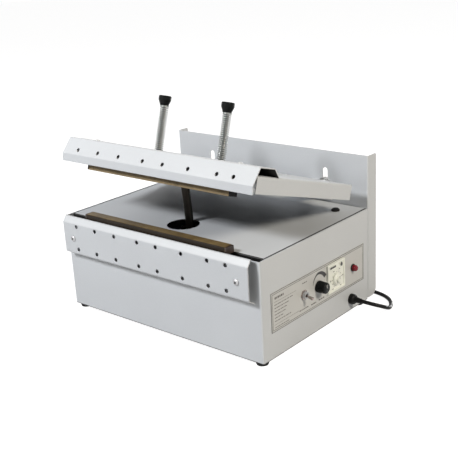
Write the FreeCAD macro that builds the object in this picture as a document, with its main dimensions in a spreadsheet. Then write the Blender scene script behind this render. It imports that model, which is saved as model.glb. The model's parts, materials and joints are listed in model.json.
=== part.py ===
import FreeCAD, Part
import math
import os
import re
import Sketcher

# Driving sizes in millimetres and degrees. Machine sizes run from the front wall's outer face (y, back)
# and from the housing's bottom edge (z, up). Lid sizes run from the hinge axis with the lid level.
SIZES = {
    # housing
    "housing_width": 420,
    "housing_depth": 291,
    "housing_height": 162,
    "wall": 1.5,
    "bend_radius": 3,
    "return_flange": 16,
    "foot_height": 7,
    "foot_radius": 10.5,
    "foot_inset": 13,
    "foot_screw_radius": 2,
    # top plate
    "slot_depth": 13.7,
    "top_flange": 14,
    "top_bend": 2,
    "top_gap": 1.6,
    "rod_hole_y": 69,
    "rod_hole_radius": 26.75,
    "bumper_x": 170.7,
    "bumper_back": 37.4,
    "bumper_radius": 7,
    "bumper_height": 4,
    "bumper_stem": 3,
    # back panel
    "panel_rise": 88.5,
    "panel_flange": 25,
    "panel_corner": 12,
    "panel_screw_inset": 10,
    "panel_screw_low": 32,
    "panel_screw_drop": 30,
    "panel_screw_radius": 2,
    # lower jaw
    "jaw_inset": 10,
    "jaw_standoff": 15.4,
    "jaw_face_drop": 5.3,
    "jaw_face_height": 53,
    "jaw_lip_out": 7.7,
    "jaw_lip_rise": 5,
    "jaw_foot_out": 3,
    "jaw_foot_height": 7.4,
    "vent_radius": 3.2,
    "vent_top_drop": 10,
    "vent_spacing": 40,
    "cover_screw_inset": 32.5,
    "cover_screw_drop": 32,
    "cover_screw_radius": 2.5,
    "spacer_radius": 6,
    # sealing bars
    "bar_half": 150,
    "bar_overhang": 5,
    "bar_width": 17.5,
    "bar_lift": 0.8,
    "bar_height": 11.4,
    "bar_round": 2,
    "cloth": 0.4,
    "element_width": 4,
    "element_thickness": 0.3,
    "element_offset": 2,
    "terminal_length": 3,
    "bracket_sheet": 3,
    "bracket_drop": 28,
    "bracket_width": 30,
    "bracket_spacing": 110,
    # lid
    "hinge_back": 28.5,
    "hinge_rise": 22.8,
    "open_angle": 17,
    "lid_inset": 8.2,
    "lid_top": 22.1,
    "lid_flange": 25.2,
    "lid_rear": 14,
    "lid_nose": 3.5,
    "hat_lip_nose": 9.9,
    "hat_lip_low": -5.1,
    "hat_bend_nose": 12,
    "hat_bend_high": 7.6,
    "hat_top_nose": 0,
    "hat_top_depth": 35.2,
    "hat_top_high": 35,
    "hat_vent_high": 15.5,
    "hat_screw_inset": 58,
    "hat_screw_back": 17.5,
    "hat_screw_radius": 2,
    "upper_bar_back": 2.5,
    "upper_bar_width": 16,
    "upper_bar_low": -13.5,
    "upper_cloth_rise": 11,
    "upper_cap_length": 2.5,
    # hinge
    "slot_x": 126,
    "hinge_bolt_rise": 31,
    "hinge_bolt_radius": 4,
    "hinge_slot_length": 56,
    "hinge_slot_width": 10,
    "bracket_plate": 4,
    "bracket_rise": 4,
    "bracket_height": 29,
    "lug_x": 104,
    "lug_width": 10,
    "lug_radius": 9,
    "pin_radius": 5,
    "ear_width": 5,
    # pressure gear
    "post_x": 67.1,
    "post_back": 73.7,
    "post_radius": 4,
    "yoke_low": -2,
    "yoke_height": 12,
    "yoke_width": 14,
    "yoke_end": 14,
    "pivot_low": -12,
    "fork_width": 5,
    "fork_radius": 7,
    "knob_rise": 85,
    "knob_height": 16,
    "knob_top_radius": 10.5,
    "knob_low_radius": 7.4,
    "knob_flare": 0.2,
    "washer_thickness": 1.5,
    "washer_radius": 9,
    "spring_radius": 7.1,
    "spring_wire": 0.9,
    "spring_pitch": 4,
    "spring_gap": 0.1,
    # pull rod and magnet
    "rod_radius": 6.8,
    "rod_length": 84,
    "rod_lean": 4.65,
    "rod_pin_radius": 4,
    "rod_pin_inset": 2,
    "rod_eye_rim": 1,
    "rod_swing": 2.27,
    "plunger_radius": 15,
    "plunger_below_pin": 78,
    "plunger_fork": 10,
    "plunger_slot_play": 1.5,
    "coil_radius": 29,
    "magnet_plate": 4,
    "magnet_top": 76,
    "magnet_half_width": 36,
    "magnet_half_depth": 26,
    # transformer
    "core_x": 120,
    "core_y": 190,
    "core_width": 84,
    "core_height": 70,
    "core_limb": 14,
    "core_stack": 34,
    # control panel
    "plate_front": 21,
    "plate_rear": 275,
    "plate_low": 42.2,
    "plate_high": 105.8,
    "plate_thickness": 0.8,
    "toggle_y": 103,
    "toggle_z": 75.5,
    "panel_nut": 2.2,
    "toggle_bushing": 5.8,
    "toggle_reach": 7,
    "toggle_tilt": 12.5,
    "toggle_case_width": 14,
    "toggle_case_height": 26,
    "toggle_case_depth": 24,
    "lever_pivot": 3,
    "lever_floor": 0.2,
    "lever_ball": 2.6,
    "ball_bend_out": 1.8,
    "ball_bend_radius": 1.9,
    "lever_neck_out": 3,
    "lever_neck_radius": 1.4,
    "lever_grip_radius": 2.5,
    "lever_chamfer": 1.2,
    "lever_length": 17,
    "lever_bore": 3.3,
    "lever_pin": 1.2,
    "heat_y": 142,
    "heat_z": 75.5,
    "heat_bushing": 4.7,
    "heat_reach": 5.5,
    "heat_knob_radius": 9.6,
    "heat_knob_length": 17.5,
    "heat_knob_bore": 7.3,
    "heat_knob_crown": 3,
    "pot_depth": 18,
    "pot_radius": 12,
    "shaft_inset": 0.5,
    "shaft_radius": 3,
    "timer_y": 188.5,
    "timer_z": 77.5,
    "timer_face": 48,
    "timer_body": 44.6,
    "timer_depth": 62,
    "timer_bezel": 4,
    "timer_rim": 3,
    "timer_recess": 1.2,
    "timer_bore_depth": 14,
    "timer_shaft_depth": 12,
    "timer_dial_radius": 8.5,
    "timer_dial_drop": 5,
    "timer_dial_edge": 1.6,
    "timer_dial_face": 2.2,
    "timer_grip_high": 6,
    "lamp_y": 241.5,
    "lamp_z": 73.7,
    "lamp_hole": 5,
    "lamp_bezel_radius": 6.4,
    "lamp_bezel_edge": 1.4,
    "lamp_bezel_high": 2,
    "lamp_can_radius": 4.4,
    "lamp_can_depth": 22,
    # power inlet
    "gland_y": 236.5,
    "gland_z": 20,
    "gland_hole": 6.5,
    "gland_flange_radius": 8.6,
    "gland_cap": 7,
    "gland_reach": 20,
    "gland_tail": 10,
    "gland_chamfer": 2,
    "gland_neck_out": 2.5,
    "gland_sleeve": 1.8,
    "gland_lip": 0.8,
    "cord_radius": 3.25,
    "coil_x": 120,
    "coil_y": 367.5,
    "coil_mid_radius": 36,
    "coil_half_width": 10,
    "coil_height": 13.4,
    "tie_thickness": 1.2,
    "tie_width": 9,
    "plug_tail": 22,
    "plug_tail_thin": 1,
    "plug_tail_thick": 3.5,
    "plug_overlap": 2,
    "plug_shoulder": 8,
    "plug_length": 34,
    "plug_width": 34,
    "plug_pin_radius": 2.4,
    "plug_pin_length": 19,
    "plug_pin_spacing": 19,
    # clearances
    "running_fit": 0.05,
    "bore_gap": 0.4,
    "hole_gap": 0.3,
    "cord_gap": 0.1,
}
# Places of the ventilation holes along the jaw covers, as uneven as on the machine.
VENT_PLACES = (-167, -121.8, -75.9, -23.4, 17.5, 70.9, 123, 158.2)
HAT_VENT_PLACES = (-168.6, -121.4, -73.5, -19.4, 23, 75.3, 131.6, 162.8)
# The power cord's points, x and y from the housing's middle and z above the table.
CORD_ROUTE = (
    (222, 91, 27),
    (236, 91, 27),
    (246, 91, 26.8),
    (254.5, 94.5, 25),
    (261.5, 101.5, 21.7),
    (265, 110, 17.4),
    (265, 120, 12.8),
    (257.5, 137.5, 5.4),
    (251, 152, 3.4),
    (241, 166.5, 3.4),
    (226, 177, 3.4),
    (206, 183, 3.5),
    (182, 184.5, 3.9),
    (160, 182, 4.3),
    (138, 179.5, 4.6),
)
# Places that follow from the sizes, by name.
PLACES = {
    "bumper_y": "housing_depth - bumper_back",
    "panel_top": "housing_height + panel_rise",
    "panel_screw_x": "housing_width / 2 - panel_screw_inset",
    "panel_screw_high": "housing_height - panel_screw_drop",
    "jaw_half": "housing_width / 2 - jaw_inset",
    "jaw_face_high": "housing_height - jaw_face_drop",
    "jaw_face_low": "jaw_face_high - jaw_face_height",
    "jaw_lip_top": "housing_height + jaw_lip_rise",
    "jaw_foot_low": "jaw_face_low - jaw_foot_height",
    "vent_high": "housing_height - vent_top_drop",
    "vent_low": "vent_high - vent_spacing",
    "cover_screw_x": "housing_width / 2 - cover_screw_inset",
    "cover_screw_z": "housing_height - cover_screw_drop",
    "hinge_y": "housing_depth - hinge_back",
    "hinge_z": "housing_height + hinge_rise",
    "lid_half": "housing_width / 2 - lid_inset",
    "lid_front": "hinge_y + lid_nose",
    "hat_lip_front": "hinge_y + hat_lip_nose",
    "hat_bend_front": "hinge_y + hat_bend_nose",
    "hat_top_front": "hinge_y + hat_top_nose",
    "hat_top_rear": "hat_top_front - hat_top_depth",
    "hat_screw_x": "housing_width / 2 - hat_screw_inset",
    "hat_screw_front": "hinge_y - hat_screw_back",
    "upper_bar_front": "hinge_y - upper_bar_back",
    "hinge_bolt_z": "housing_height + hinge_bolt_rise",
    "bracket_low": "housing_height + bracket_rise",
    "bracket_high": "bracket_low + bracket_height",
    "post_front": "hinge_y - post_back",
}
BOTH_SIDES = (-1, 1)
HEX_CORNER = 2 / math.sqrt(3)

doc = FreeCAD.newDocument("ImpulseSealer")
sheet = doc.addObject("Spreadsheet::Sheet", "Sizes")
for row, (name, size) in enumerate(SIZES.items(), start=1):
    sheet.set(f"A{row}", name)
    sheet.set(f"B{row}", str(size))
    sheet.setAlias(f"B{row}", name)
doc.recompute()

WORD = re.compile(r"[a-z][a-z_]*")
finished = {}


def cell_of(word):
    if word[0] in PLACES:
        return f"({linked(PLACES[word[0]])})"
    return "Sizes." + word[0] if word[0] in SIZES else word[0]


def linked(text):
    """Write each size's name in an expression as its cell in the sheet, and each place as its sizes."""
    return WORD.sub(cell_of, str(text))


def number(text):
    return float(sheet.evalExpression(linked(text)))


def bind(thing, prop, text):
    thing.setExpression(prop, linked(text))


# Bodies in the machine's frame, on the right wall and on the lid


def place(body, x, y, z):
    bind(body, "Placement.Base.x", x)
    bind(body, "Placement.Base.y", f"{y} - housing_depth / 2")
    bind(body, "Placement.Base.z", f"{z} + foot_height")


def machine_body(label, x="0", y="0", z="0"):
    body = doc.addObject("PartDesign::Body", label)
    body.Label = label
    place(body, x, y, z)
    finished[label] = body
    return body


def wall_body(label, y, z, out="0"):
    return machine_body(label, f"housing_width / 2 + {out}", y, z)


def lid_body(label):
    body = machine_body(label, "0", "hinge_y", "hinge_z")
    body.Placement.Rotation = FreeCAD.Rotation(FreeCAD.Vector(-1, 0, 0), number("open_angle"))
    bind(body, "Placement.Rotation.Angle", "open_angle")
    return body


# Sketches and features


def sketch(body, plane, offset="0"):
    drawing = body.newObject("Sketcher::SketchObject", body.Label + "_sketch")
    support = next(item for item in body.Origin.OriginFeatures if item.Role == plane + "_Plane")
    drawing.AttachmentSupport = (support, "")
    drawing.MapMode = "FlatFace"
    bind(drawing, "AttachmentOffset.Base.z", f"-({offset})" if plane == "XZ" else offset)
    return drawing


def hold(drawing, kind, first, second, text):
    index = drawing.addConstraint(Sketcher.Constraint(kind, *first, *second, number(text)))
    bind(drawing, f"Constraints[{index}]", text)


def pin_point(drawing, geometry, end, point):
    hold(drawing, "DistanceX", (-1, 1), (geometry, end), point[0])
    hold(drawing, "DistanceY", (-1, 1), (geometry, end), point[1])


def polygon(drawing, points):
    first = drawing.GeometryCount
    count = len(points)
    corners = [FreeCAD.Vector(number(u), number(v), 0) for u, v in points]
    for index in range(count):
        drawing.addGeometry(Part.LineSegment(corners[index], corners[(index + 1) % count]), False)
    for index in range(count):
        joined = first + (index + 1) % count
        drawing.addConstraint(Sketcher.Constraint("Coincident", first + index, 2, joined, 1))
    for index, point in enumerate(points):
        pin_point(drawing, first + index, 1, point)


def rectangle(drawing, u_low, v_low, u_high, v_high):
    polygon(drawing, [(u_low, v_low), (u_high, v_low), (u_high, v_high), (u_low, v_high)])


def disc(drawing, u, v, radius):
    centre = FreeCAD.Vector(number(u), number(v), 0)
    circle = Part.Circle(centre, FreeCAD.Vector(0, 0, 1), number(radius))
    index = drawing.addGeometry(circle, False)
    hold(drawing, "Radius", (index,), (), radius)
    pin_point(drawing, index, 3, (u, v))


def hexagon(drawing, u, v, across):
    half = f"{across} * {HEX_CORNER} / 2"
    polygon(drawing, [(f"{u} + {half} * cos({60 * k})", f"{v} + {half} * sin({60 * k})") for k in range(6)])


def grow(drawing, kind, length, both, backward):
    body = drawing.getParentGeoFeatureGroup()
    feature = body.newObject("PartDesign::" + kind, body.Label + "_" + kind.lower())
    feature.Profile = drawing
    if length is None:
        feature.Type = "ThroughAll"
    else:
        bind(feature, "Length", length)
    feature.Midplane = both
    feature.Reversed = backward
    return feature


def pad(drawing, length, both=False, backward=False):
    return grow(drawing, "Pad", length, both, backward)


def cut(drawing, length=None, both=True, backward=False):
    doc.recompute()
    body = drawing.getParentGeoFeatureGroup()
    before = body.Shape.Volume
    feature = grow(drawing, "Pocket", length, both, backward)
    doc.recompute()
    if not body.Shape.Volume < before:
        raise ValueError(f"{body.Label}: a cut removes nothing")
    return feature


def axis_line(drawing, start, end):
    ends = [FreeCAD.Vector(number(u), number(v), 0) for u, v in (start, end)]
    index = drawing.addGeometry(Part.LineSegment(*ends), True)
    pin_point(drawing, index, 1, start)
    pin_point(drawing, index, 2, end)


def revolve(drawing, axis="Axis0"):
    body = drawing.getParentGeoFeatureGroup()
    feature = body.newObject("PartDesign::Revolution", body.Label + "_turn")
    feature.Profile = drawing
    feature.ReferenceAxis = (drawing, [axis])
    feature.Angle = 360
    return feature


def turn_upright(body, x, y, profile):
    """Turn a profile of (radius, height) about an upright line through x, y."""
    drawing = sketch(body, "XZ", y)
    polygon(drawing, [(f"{x} + {radius}", height) for radius, height in profile])
    axis_line(drawing, (x, "0"), (x, "10"))
    return revolve(drawing)


def turn_backward(body, x, z, profile):
    """Turn a profile of (radius, depth) about a line through x, z that runs front to back."""
    drawing = sketch(body, "XY", z)
    polygon(drawing, [(f"{x} + {radius}", depth) for radius, depth in profile])
    axis_line(drawing, (x, "0"), (x, "10"))
    return revolve(drawing)


def turn_outward(body, profile):
    """Turn a profile of (reach, radius) about the body's own x axis."""
    drawing = sketch(body, "XY")
    polygon(drawing, profile)
    return revolve(drawing, "H_Axis")


def chosen(shapes, prefix, test):
    return [f"{prefix}{index}" for index, shape in enumerate(shapes, start=1) if test(shape)]


def edges_where(body, test):
    doc.recompute()
    return (body.Tip, chosen(body.Tip.Shape.Edges, "Edge", test))


def faces_where(body, test):
    doc.recompute()
    return (body.Tip, chosen(body.Tip.Shape.Faces, "Face", test))


def near(first, second):
    return abs(first - second) < 1e-4


def edge_at(body, **wanted):
    """Edges whose two ends share the named coordinates."""

    def test(edge):
        points = [vertex.Point for vertex in edge.Vertexes]
        return all(near(getattr(point, axis), number(at)) for point in points for axis, at in wanted.items())

    return edges_where(body, test)


def face_at(body, **wanted):
    """Flat faces that lie in one of the named planes."""

    def test(face):
        box = face.BoundBox
        spans = {"x": (box.XMin, box.XMax), "y": (box.YMin, box.YMax), "z": (box.ZMin, box.ZMax)}
        return any(
            near(spans[axis][0], number(at)) and near(spans[axis][1], number(at))
            for axis, places in wanted.items()
            for at in places
        )

    return faces_where(body, test)


def soften(body, kind, radius, edges):
    feature = body.newObject("PartDesign::" + kind, body.Label + "_" + kind.lower())
    feature.Base = edges
    bind(feature, "Radius" if kind == "Fillet" else "Size", radius)
    doc.recompute()
    return feature


def hollow(body, thickness, open_faces):
    """Turn the solid into sheet metal that is open at the named faces."""
    feature = body.newObject("PartDesign::Thickness", body.Label + "_sheet")
    feature.Base = open_faces
    bind(feature, "Value", thickness)
    feature.Reversed = True
    feature.Join = 1
    doc.recompute()
    return feature


# Housing


def panel_cutouts(drawing):
    disc(drawing, "toggle_y", "toggle_z", "toggle_bushing")
    disc(drawing, "heat_y", "heat_z", "heat_bushing")
    rectangle(
        drawing,
        "timer_y - timer_body / 2",
        "timer_z - timer_body / 2",
        "timer_y + timer_body / 2",
        "timer_z + timer_body / 2",
    )
    disc(drawing, "lamp_y", "lamp_z", "lamp_hole")


def make_housing_shell():
    body = machine_body("housing_shell")
    plan = sketch(body, "XY")
    rectangle(plan, "-housing_width / 2", "0", "housing_width / 2", "housing_depth")
    pad(plan, "housing_height")
    upright = edges_where(body, lambda edge: near(edge.BoundBox.ZLength, number("housing_height")))
    soften(body, "Fillet", "bend_radius", upright)
    hollow(body, "wall", face_at(body, z=("0", "housing_height")))
    rear = sketch(body, "XZ", "housing_depth")
    window = "housing_width / 2 - return_flange"
    rectangle(rear, f"-({window})", "-wall", window, "housing_height + wall")
    cut(rear, "4 * wall")
    flange_holes = sketch(body, "XZ", "housing_depth")
    for side in BOTH_SIDES:
        for height in ("panel_screw_low", "panel_screw_high"):
            disc(flange_holes, f"{side} * panel_screw_x", height, "panel_screw_radius")
    cut(flange_holes, "4 * wall")
    front = sketch(body, "XZ")
    for side in BOTH_SIDES:
        disc(front, f"{side} * cover_screw_x", "cover_screw_z", "cover_screw_radius")
    cut(front, "4 * wall")
    right = sketch(body, "YZ", "housing_width / 2")
    panel_cutouts(right)
    disc(right, "gland_y", "gland_z", "gland_hole")
    cut(right, "4 * wall")


def foot_places():
    for side in BOTH_SIDES:
        for y in ("foot_inset", "housing_depth - foot_inset"):
            yield f"{side} * (housing_width / 2 - foot_inset)", y


def make_base_plate():
    body = machine_body("base_plate")
    plan = sketch(body, "XY")
    half = "housing_width / 2 - wall"
    corner = "bend_radius - wall"
    points = []
    for u, v in ((-1, 0), (1, 0), (1, 1), (-1, 1)):
        edge_y = "housing_depth - wall" if v else "wall"
        inward = -1 if v else 1
        side_point = (f"{u} * ({half})", f"{edge_y} + {inward} * ({corner})")
        end_point = (f"{u} * ({half} - ({corner}))", edge_y)
        points += [side_point, end_point] if u * inward < 0 else [end_point, side_point]
    polygon(plan, points)
    for x, y in foot_places():
        disc(plan, x, y, "foot_screw_radius")
    pad(plan, "wall")


def make_top_plate():
    body = machine_body("top_plate")
    plan = sketch(body, "XY", "housing_height - top_flange")
    half = "housing_width / 2 - wall - top_gap"
    rectangle(plan, f"-({half})", "slot_depth", half, "housing_depth - wall")
    pad(plan, "top_flange")
    hollow(body, "wall", face_at(body, z=("housing_height - top_flange",)))
    soften(body, "Fillet", "top_bend", edge_at(body, z="housing_height"))
    soften(body, "Fillet", "top_bend - wall", edge_at(body, z="housing_height - wall"))
    holes = sketch(body, "XY", "housing_height")
    disc(holes, "0", "rod_hole_y", "rod_hole_radius")
    for side in BOTH_SIDES:
        disc(holes, f"{side} * bumper_x", "bumper_y", "bumper_stem")
    cut(holes, "4 * wall")


def make_back_panel():
    body = machine_body("back_panel")
    plan = sketch(body, "XY", "wall")
    half = "housing_width / 2"
    rectangle(plan, f"-{half}", "housing_depth", half, "housing_depth + panel_flange")
    pad(plan, "panel_top - wall")
    for side in BOTH_SIDES:
        soften(body, "Fillet", "bend_radius", edge_at(body, x=f"{side} * {half}", y="housing_depth"))
    for height in ("wall", "panel_top"):
        radius = "panel_corner" if height == "wall" else "bend_radius"
        soften(body, "Fillet", radius, edge_at(body, y="housing_depth + panel_flange", z=height))
    open_side = faces_where(body, lambda face: face.CenterOfMass.y > number("housing_depth + bend_radius")
                            and abs(face.CenterOfMass.x) < 1 or near(face.BoundBox.ZLength, 0))
    hollow(body, "wall", open_side)
    slots = sketch(body, "XZ", "housing_depth")
    holes = sketch(body, "XZ", "housing_depth")
    reach = "(hinge_slot_length - hinge_slot_width) / 2"
    for side in BOTH_SIDES:
        rectangle(
            slots,
            f"{side} * slot_x - hinge_slot_width / 2",
            f"hinge_bolt_z - {reach}",
            f"{side} * slot_x + hinge_slot_width / 2",
            f"hinge_bolt_z + {reach}",
        )
        for end in BOTH_SIDES:
            disc(holes, f"{side} * slot_x", f"hinge_bolt_z + {end} * {reach}", "hinge_slot_width / 2")
        for height in ("panel_screw_low", "panel_screw_high"):
            disc(holes, f"{side} * panel_screw_x", height, "panel_screw_radius")
    cut(slots, "4 * wall")
    cut(holes, "4 * wall")


def screw_profile(seat, out, shank_radius, shank_end):
    """Pan head screw: (radius, place) from the seat outward by `out` and inward to the shank's end."""
    return [
        ("0", f"{seat} + {out} * 1.1 * {shank_radius}"),
        (f"1.2 * {shank_radius}", f"{seat} + {out} * 1.1 * {shank_radius}"),
        (f"2 * {shank_radius}", f"{seat} + {out} * 0.5 * {shank_radius}"),
        (f"2 * {shank_radius}", seat),
        (shank_radius, seat),
        (shank_radius, shank_end),
        ("0", shank_end),
    ]


def make_panel_screws():
    body = machine_body("panel_screws")
    for side in BOTH_SIDES:
        for height in ("panel_screw_low", "panel_screw_high"):
            seat = "housing_depth + wall"
            profile = screw_profile(seat, 1, "panel_screw_radius", "housing_depth - 4 * wall")
            turn_backward(body, f"{side} * panel_screw_x", height, profile)


def make_feet():
    feet = machine_body("rubber_feet")
    screws = machine_body("foot_screws")
    for x, y in foot_places():
        profile = [
            ("foot_screw_radius", "0"),
            ("foot_radius", "0"),
            ("foot_radius", "-0.4 * foot_height"),
            ("0.88 * foot_radius", "-foot_height"),
            ("2.4 * foot_screw_radius", "-foot_height"),
            ("2.4 * foot_screw_radius", "-0.4 * foot_height"),
            ("foot_screw_radius", "-0.4 * foot_height"),
        ]
        turn_upright(feet, x, y, profile)
        profile = screw_profile("-0.4 * foot_height", -1, "foot_screw_radius", "3 * wall")
        turn_upright(screws, x, y, profile)


def make_bumpers():
    body = machine_body("lid_bumpers")
    for side in BOTH_SIDES:
        profile = [
            ("0", "housing_height - 2 * wall"),
            ("bumper_stem", "housing_height - 2 * wall"),
            ("bumper_stem", "housing_height"),
            ("bumper_radius", "housing_height"),
            ("bumper_radius", "housing_height + bumper_height / 2"),
            ("0.7 * bumper_radius", "housing_height + bumper_height"),
            ("0", "housing_height + bumper_height"),
        ]
        turn_upright(body, f"{side} * bumper_x", "bumper_y", profile)


# Lower jaw


def make_lower_cover():
    body = machine_body("lower_jaw_cover")
    side = sketch(body, "YZ")
    polygon(side, [
        ("-jaw_lip_out", "jaw_lip_top"),
        ("-jaw_standoff", "jaw_face_high"),
        ("-jaw_standoff", "jaw_face_low"),
        ("-jaw_foot_out", "jaw_foot_low"),
    ])
    pad(side, "2 * jaw_half", both=True)
    for height in ("jaw_face_high", "jaw_face_low"):
        soften(body, "Fillet", "bend_radius", edge_at(body, y="-jaw_standoff", z=height))
    ends = face_at(body, x=("-jaw_half", "jaw_half"))
    inner_y = number("-(jaw_lip_out + jaw_foot_out) / 2")
    back = faces_where(body, lambda face: near(face.CenterOfMass.y, inner_y))
    hollow(body, "wall", (body.Tip, ends[1] + back[1]))
    holes = sketch(body, "XZ", "-jaw_standoff")
    for x in VENT_PLACES:
        for height in ("vent_high", "vent_low"):
            disc(holes, str(x), height, "vent_radius")
    for end in BOTH_SIDES:
        disc(holes, f"{end} * cover_screw_x", "cover_screw_z", "cover_screw_radius")
    cut(holes, "4 * bend_radius")


def make_cover_fasteners():
    screws = machine_body("cover_screws")
    spacers = machine_body("cover_spacers")
    for side in BOTH_SIDES:
        x = f"{side} * cover_screw_x"
        profile = screw_profile("-jaw_standoff", -1, "cover_screw_radius", "6 * wall")
        turn_backward(screws, x, "cover_screw_z", profile)
        ring = sketch(spacers, "XZ", "0")
        disc(ring, x, "cover_screw_z", "spacer_radius")
        disc(ring, x, "cover_screw_z", "cover_screw_radius")
        pad(ring, "jaw_standoff - wall")


BAR_LOW = "housing_height + bar_lift"
BAR_TOP = f"{BAR_LOW} + bar_height"
BAR_FRONT = "-bar_overhang"
BAR_REAR = "bar_width - bar_overhang"
ELEMENT_MIDDLE = "bar_width / 2 - bar_overhang + element_offset"


def make_lower_bar():
    bar = machine_body("lower_seal_bar")
    side = sketch(bar, "YZ")
    rectangle(side, BAR_FRONT, BAR_LOW, BAR_REAR, BAR_TOP)
    pad(side, "2 * bar_half", both=True)
    for y in (BAR_FRONT, BAR_REAR):
        soften(bar, "Fillet", "bar_round", edge_at(bar, y=y, z=BAR_TOP))
    groove = sketch(bar, "YZ")
    seat = (f"{ELEMENT_MIDDLE} - element_width / 2", f"{BAR_TOP} - element_thickness",
            f"{ELEMENT_MIDDLE} + element_width / 2")
    rectangle(groove, seat[0], seat[1], seat[2], f"{BAR_TOP} + cloth")
    cut(groove)
    element = machine_body("heating_element")
    side = sketch(element, "YZ")
    rectangle(side, seat[0], seat[1], seat[2], BAR_TOP)
    pad(side, "2 * bar_half", both=True)


def make_lower_cloth():
    body = machine_body("lower_seal_cloth")
    side = sketch(body, "YZ")
    rectangle(side, f"{BAR_FRONT} - cloth", BAR_LOW, f"{BAR_REAR} + cloth", f"{BAR_TOP} + cloth")
    pad(side, "2 * bar_half", both=True)
    for y in (f"{BAR_FRONT} - cloth", f"{BAR_REAR} + cloth"):
        soften(body, "Fillet", "bar_round + cloth", edge_at(body, y=y, z=f"{BAR_TOP} + cloth"))
    hollow(body, "cloth", face_at(body, x=("-bar_half", "bar_half"), z=(BAR_LOW,)))


def make_bar_supports():
    brackets = machine_body("lower_bar_brackets")
    for place_x in (-1, 0, 1):
        side = sketch(brackets, "YZ", f"{place_x} * bracket_spacing")
        polygon(side, [
            ("wall", f"{BAR_LOW} - bracket_drop"),
            ("wall + bracket_sheet", f"{BAR_LOW} - bracket_drop"),
            ("wall + bracket_sheet", f"{BAR_LOW} - bracket_sheet"),
            (BAR_REAR, f"{BAR_LOW} - bracket_sheet"),
            (BAR_REAR, BAR_LOW),
            ("wall", BAR_LOW),
        ])
        pad(side, "bracket_width", both=True)
    terminals = machine_body("element_terminals")
    for side in BOTH_SIDES:
        end = sketch(terminals, "YZ", f"{side} * (bar_half + terminal_length / 2)")
        rectangle(end, BAR_FRONT, BAR_LOW, BAR_REAR, BAR_TOP)
        pad(end, "terminal_length", both=True)
    for y in (BAR_FRONT, BAR_REAR):
        soften(terminals, "Fillet", "bar_round", edge_at(terminals, y=y, z=BAR_TOP))


# Lid and upper jaw


def make_lid_plate():
    body = lid_body("lid_plate")
    plan = sketch(body, "XY", "lid_top - lid_flange")
    rectangle(plan, "-lid_half", "-lid_front", "lid_half", "-lid_rear")
    pad(plan, "lid_flange")
    for side in BOTH_SIDES:
        soften(body, "Fillet", "bend_radius", edge_at(body, x=f"{side} * lid_half", z="lid_top"))
    hollow(body, "wall", face_at(body, z=("lid_top - lid_flange",), y=("-lid_front",)))
    holes = sketch(body, "XY", "lid_top")
    for side in BOTH_SIDES:
        disc(holes, f"{side} * post_x", "-post_front", "post_radius + bore_gap")
    cut(holes, "4 * wall")


def make_upper_cover():
    body = lid_body("upper_jaw_cover")
    side = sketch(body, "YZ")
    hat_foot = "hat_top_rear - (hat_top_high - lid_top)"
    polygon(side, [
        ("-hat_lip_front", "hat_lip_low"),
        ("-hat_bend_front", "hat_bend_high"),
        ("-hat_top_front", "hat_top_high"),
        ("-hat_top_rear", "hat_top_high"),
        (f"-({hat_foot})", "lid_top"),
    ])
    pad(side, "2 * lid_half", both=True)
    for y, z in (("-hat_bend_front", "hat_bend_high"), ("-hat_top_front", "hat_top_high"),
                 ("-hat_top_rear", "hat_top_high")):
        soften(body, "Fillet", "bend_radius", edge_at(body, y=y, z=z))
    ends = face_at(body, x=("-lid_half", "lid_half"))
    inner_y = number(f"-(hat_lip_front + {hat_foot}) / 2")
    back = faces_where(body, lambda face: near(face.CenterOfMass.y, inner_y))
    hollow(body, "wall", (body.Tip, ends[1] + back[1]))
    seat = sketch(body, "YZ")
    rectangle(seat, "-hat_top_rear", "lid_top - 4 * wall", f"-({hat_foot}) + wall", "lid_top")
    cut(seat)
    vents = sketch(body, "XZ", "-hat_bend_front")
    for x in HAT_VENT_PLACES:
        disc(vents, str(x), "hat_vent_high", "vent_radius")
    cut(vents, "6 * bend_radius")
    holes = sketch(body, "XY", "hat_top_high")
    for end in BOTH_SIDES:
        disc(holes, f"{end} * hat_screw_x", "-hat_screw_front", "hat_screw_radius")
    cut(holes, "4 * wall")
    screws = lid_body("upper_cover_screws")
    for end in BOTH_SIDES:
        profile = screw_profile("hat_top_high", 1, "hat_screw_radius", "hat_top_high - 4 * wall")
        turn_upright(screws, f"{end} * hat_screw_x", "-hat_screw_front", profile)


UPPER_BAR_REAR = "-(upper_bar_front - upper_bar_width)"


def make_upper_bar():
    bar = lid_body("upper_seal_bar")
    side = sketch(bar, "YZ")
    low = "upper_bar_low + cloth"
    rectangle(side, "-upper_bar_front + cloth", low, f"{UPPER_BAR_REAR} - cloth", "lid_top - wall")
    pad(side, "2 * bar_half", both=True)
    cloth = lid_body("upper_seal_cloth")
    side = sketch(cloth, "YZ")
    polygon(side, [
        ("-upper_bar_front", "upper_bar_low"),
        (UPPER_BAR_REAR, "upper_bar_low"),
        (UPPER_BAR_REAR, "upper_bar_low + upper_cloth_rise"),
        (f"{UPPER_BAR_REAR} - cloth", "upper_bar_low + upper_cloth_rise"),
        (f"{UPPER_BAR_REAR} - cloth", "upper_bar_low + cloth"),
        ("-upper_bar_front + cloth", "upper_bar_low + cloth"),
        ("-upper_bar_front + cloth", "upper_bar_low + upper_cloth_rise"),
        ("-upper_bar_front", "upper_bar_low + upper_cloth_rise"),
    ])
    pad(side, "2 * bar_half", both=True)
    caps = lid_body("upper_bar_caps")
    for end in BOTH_SIDES:
        side = sketch(caps, "YZ", f"{end} * (bar_half + upper_cap_length / 2)")
        rectangle(side, "-upper_bar_front", "upper_bar_low", UPPER_BAR_REAR, "lid_top - wall")
        pad(side, "upper_cap_length", both=True)


# Hinge


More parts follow.
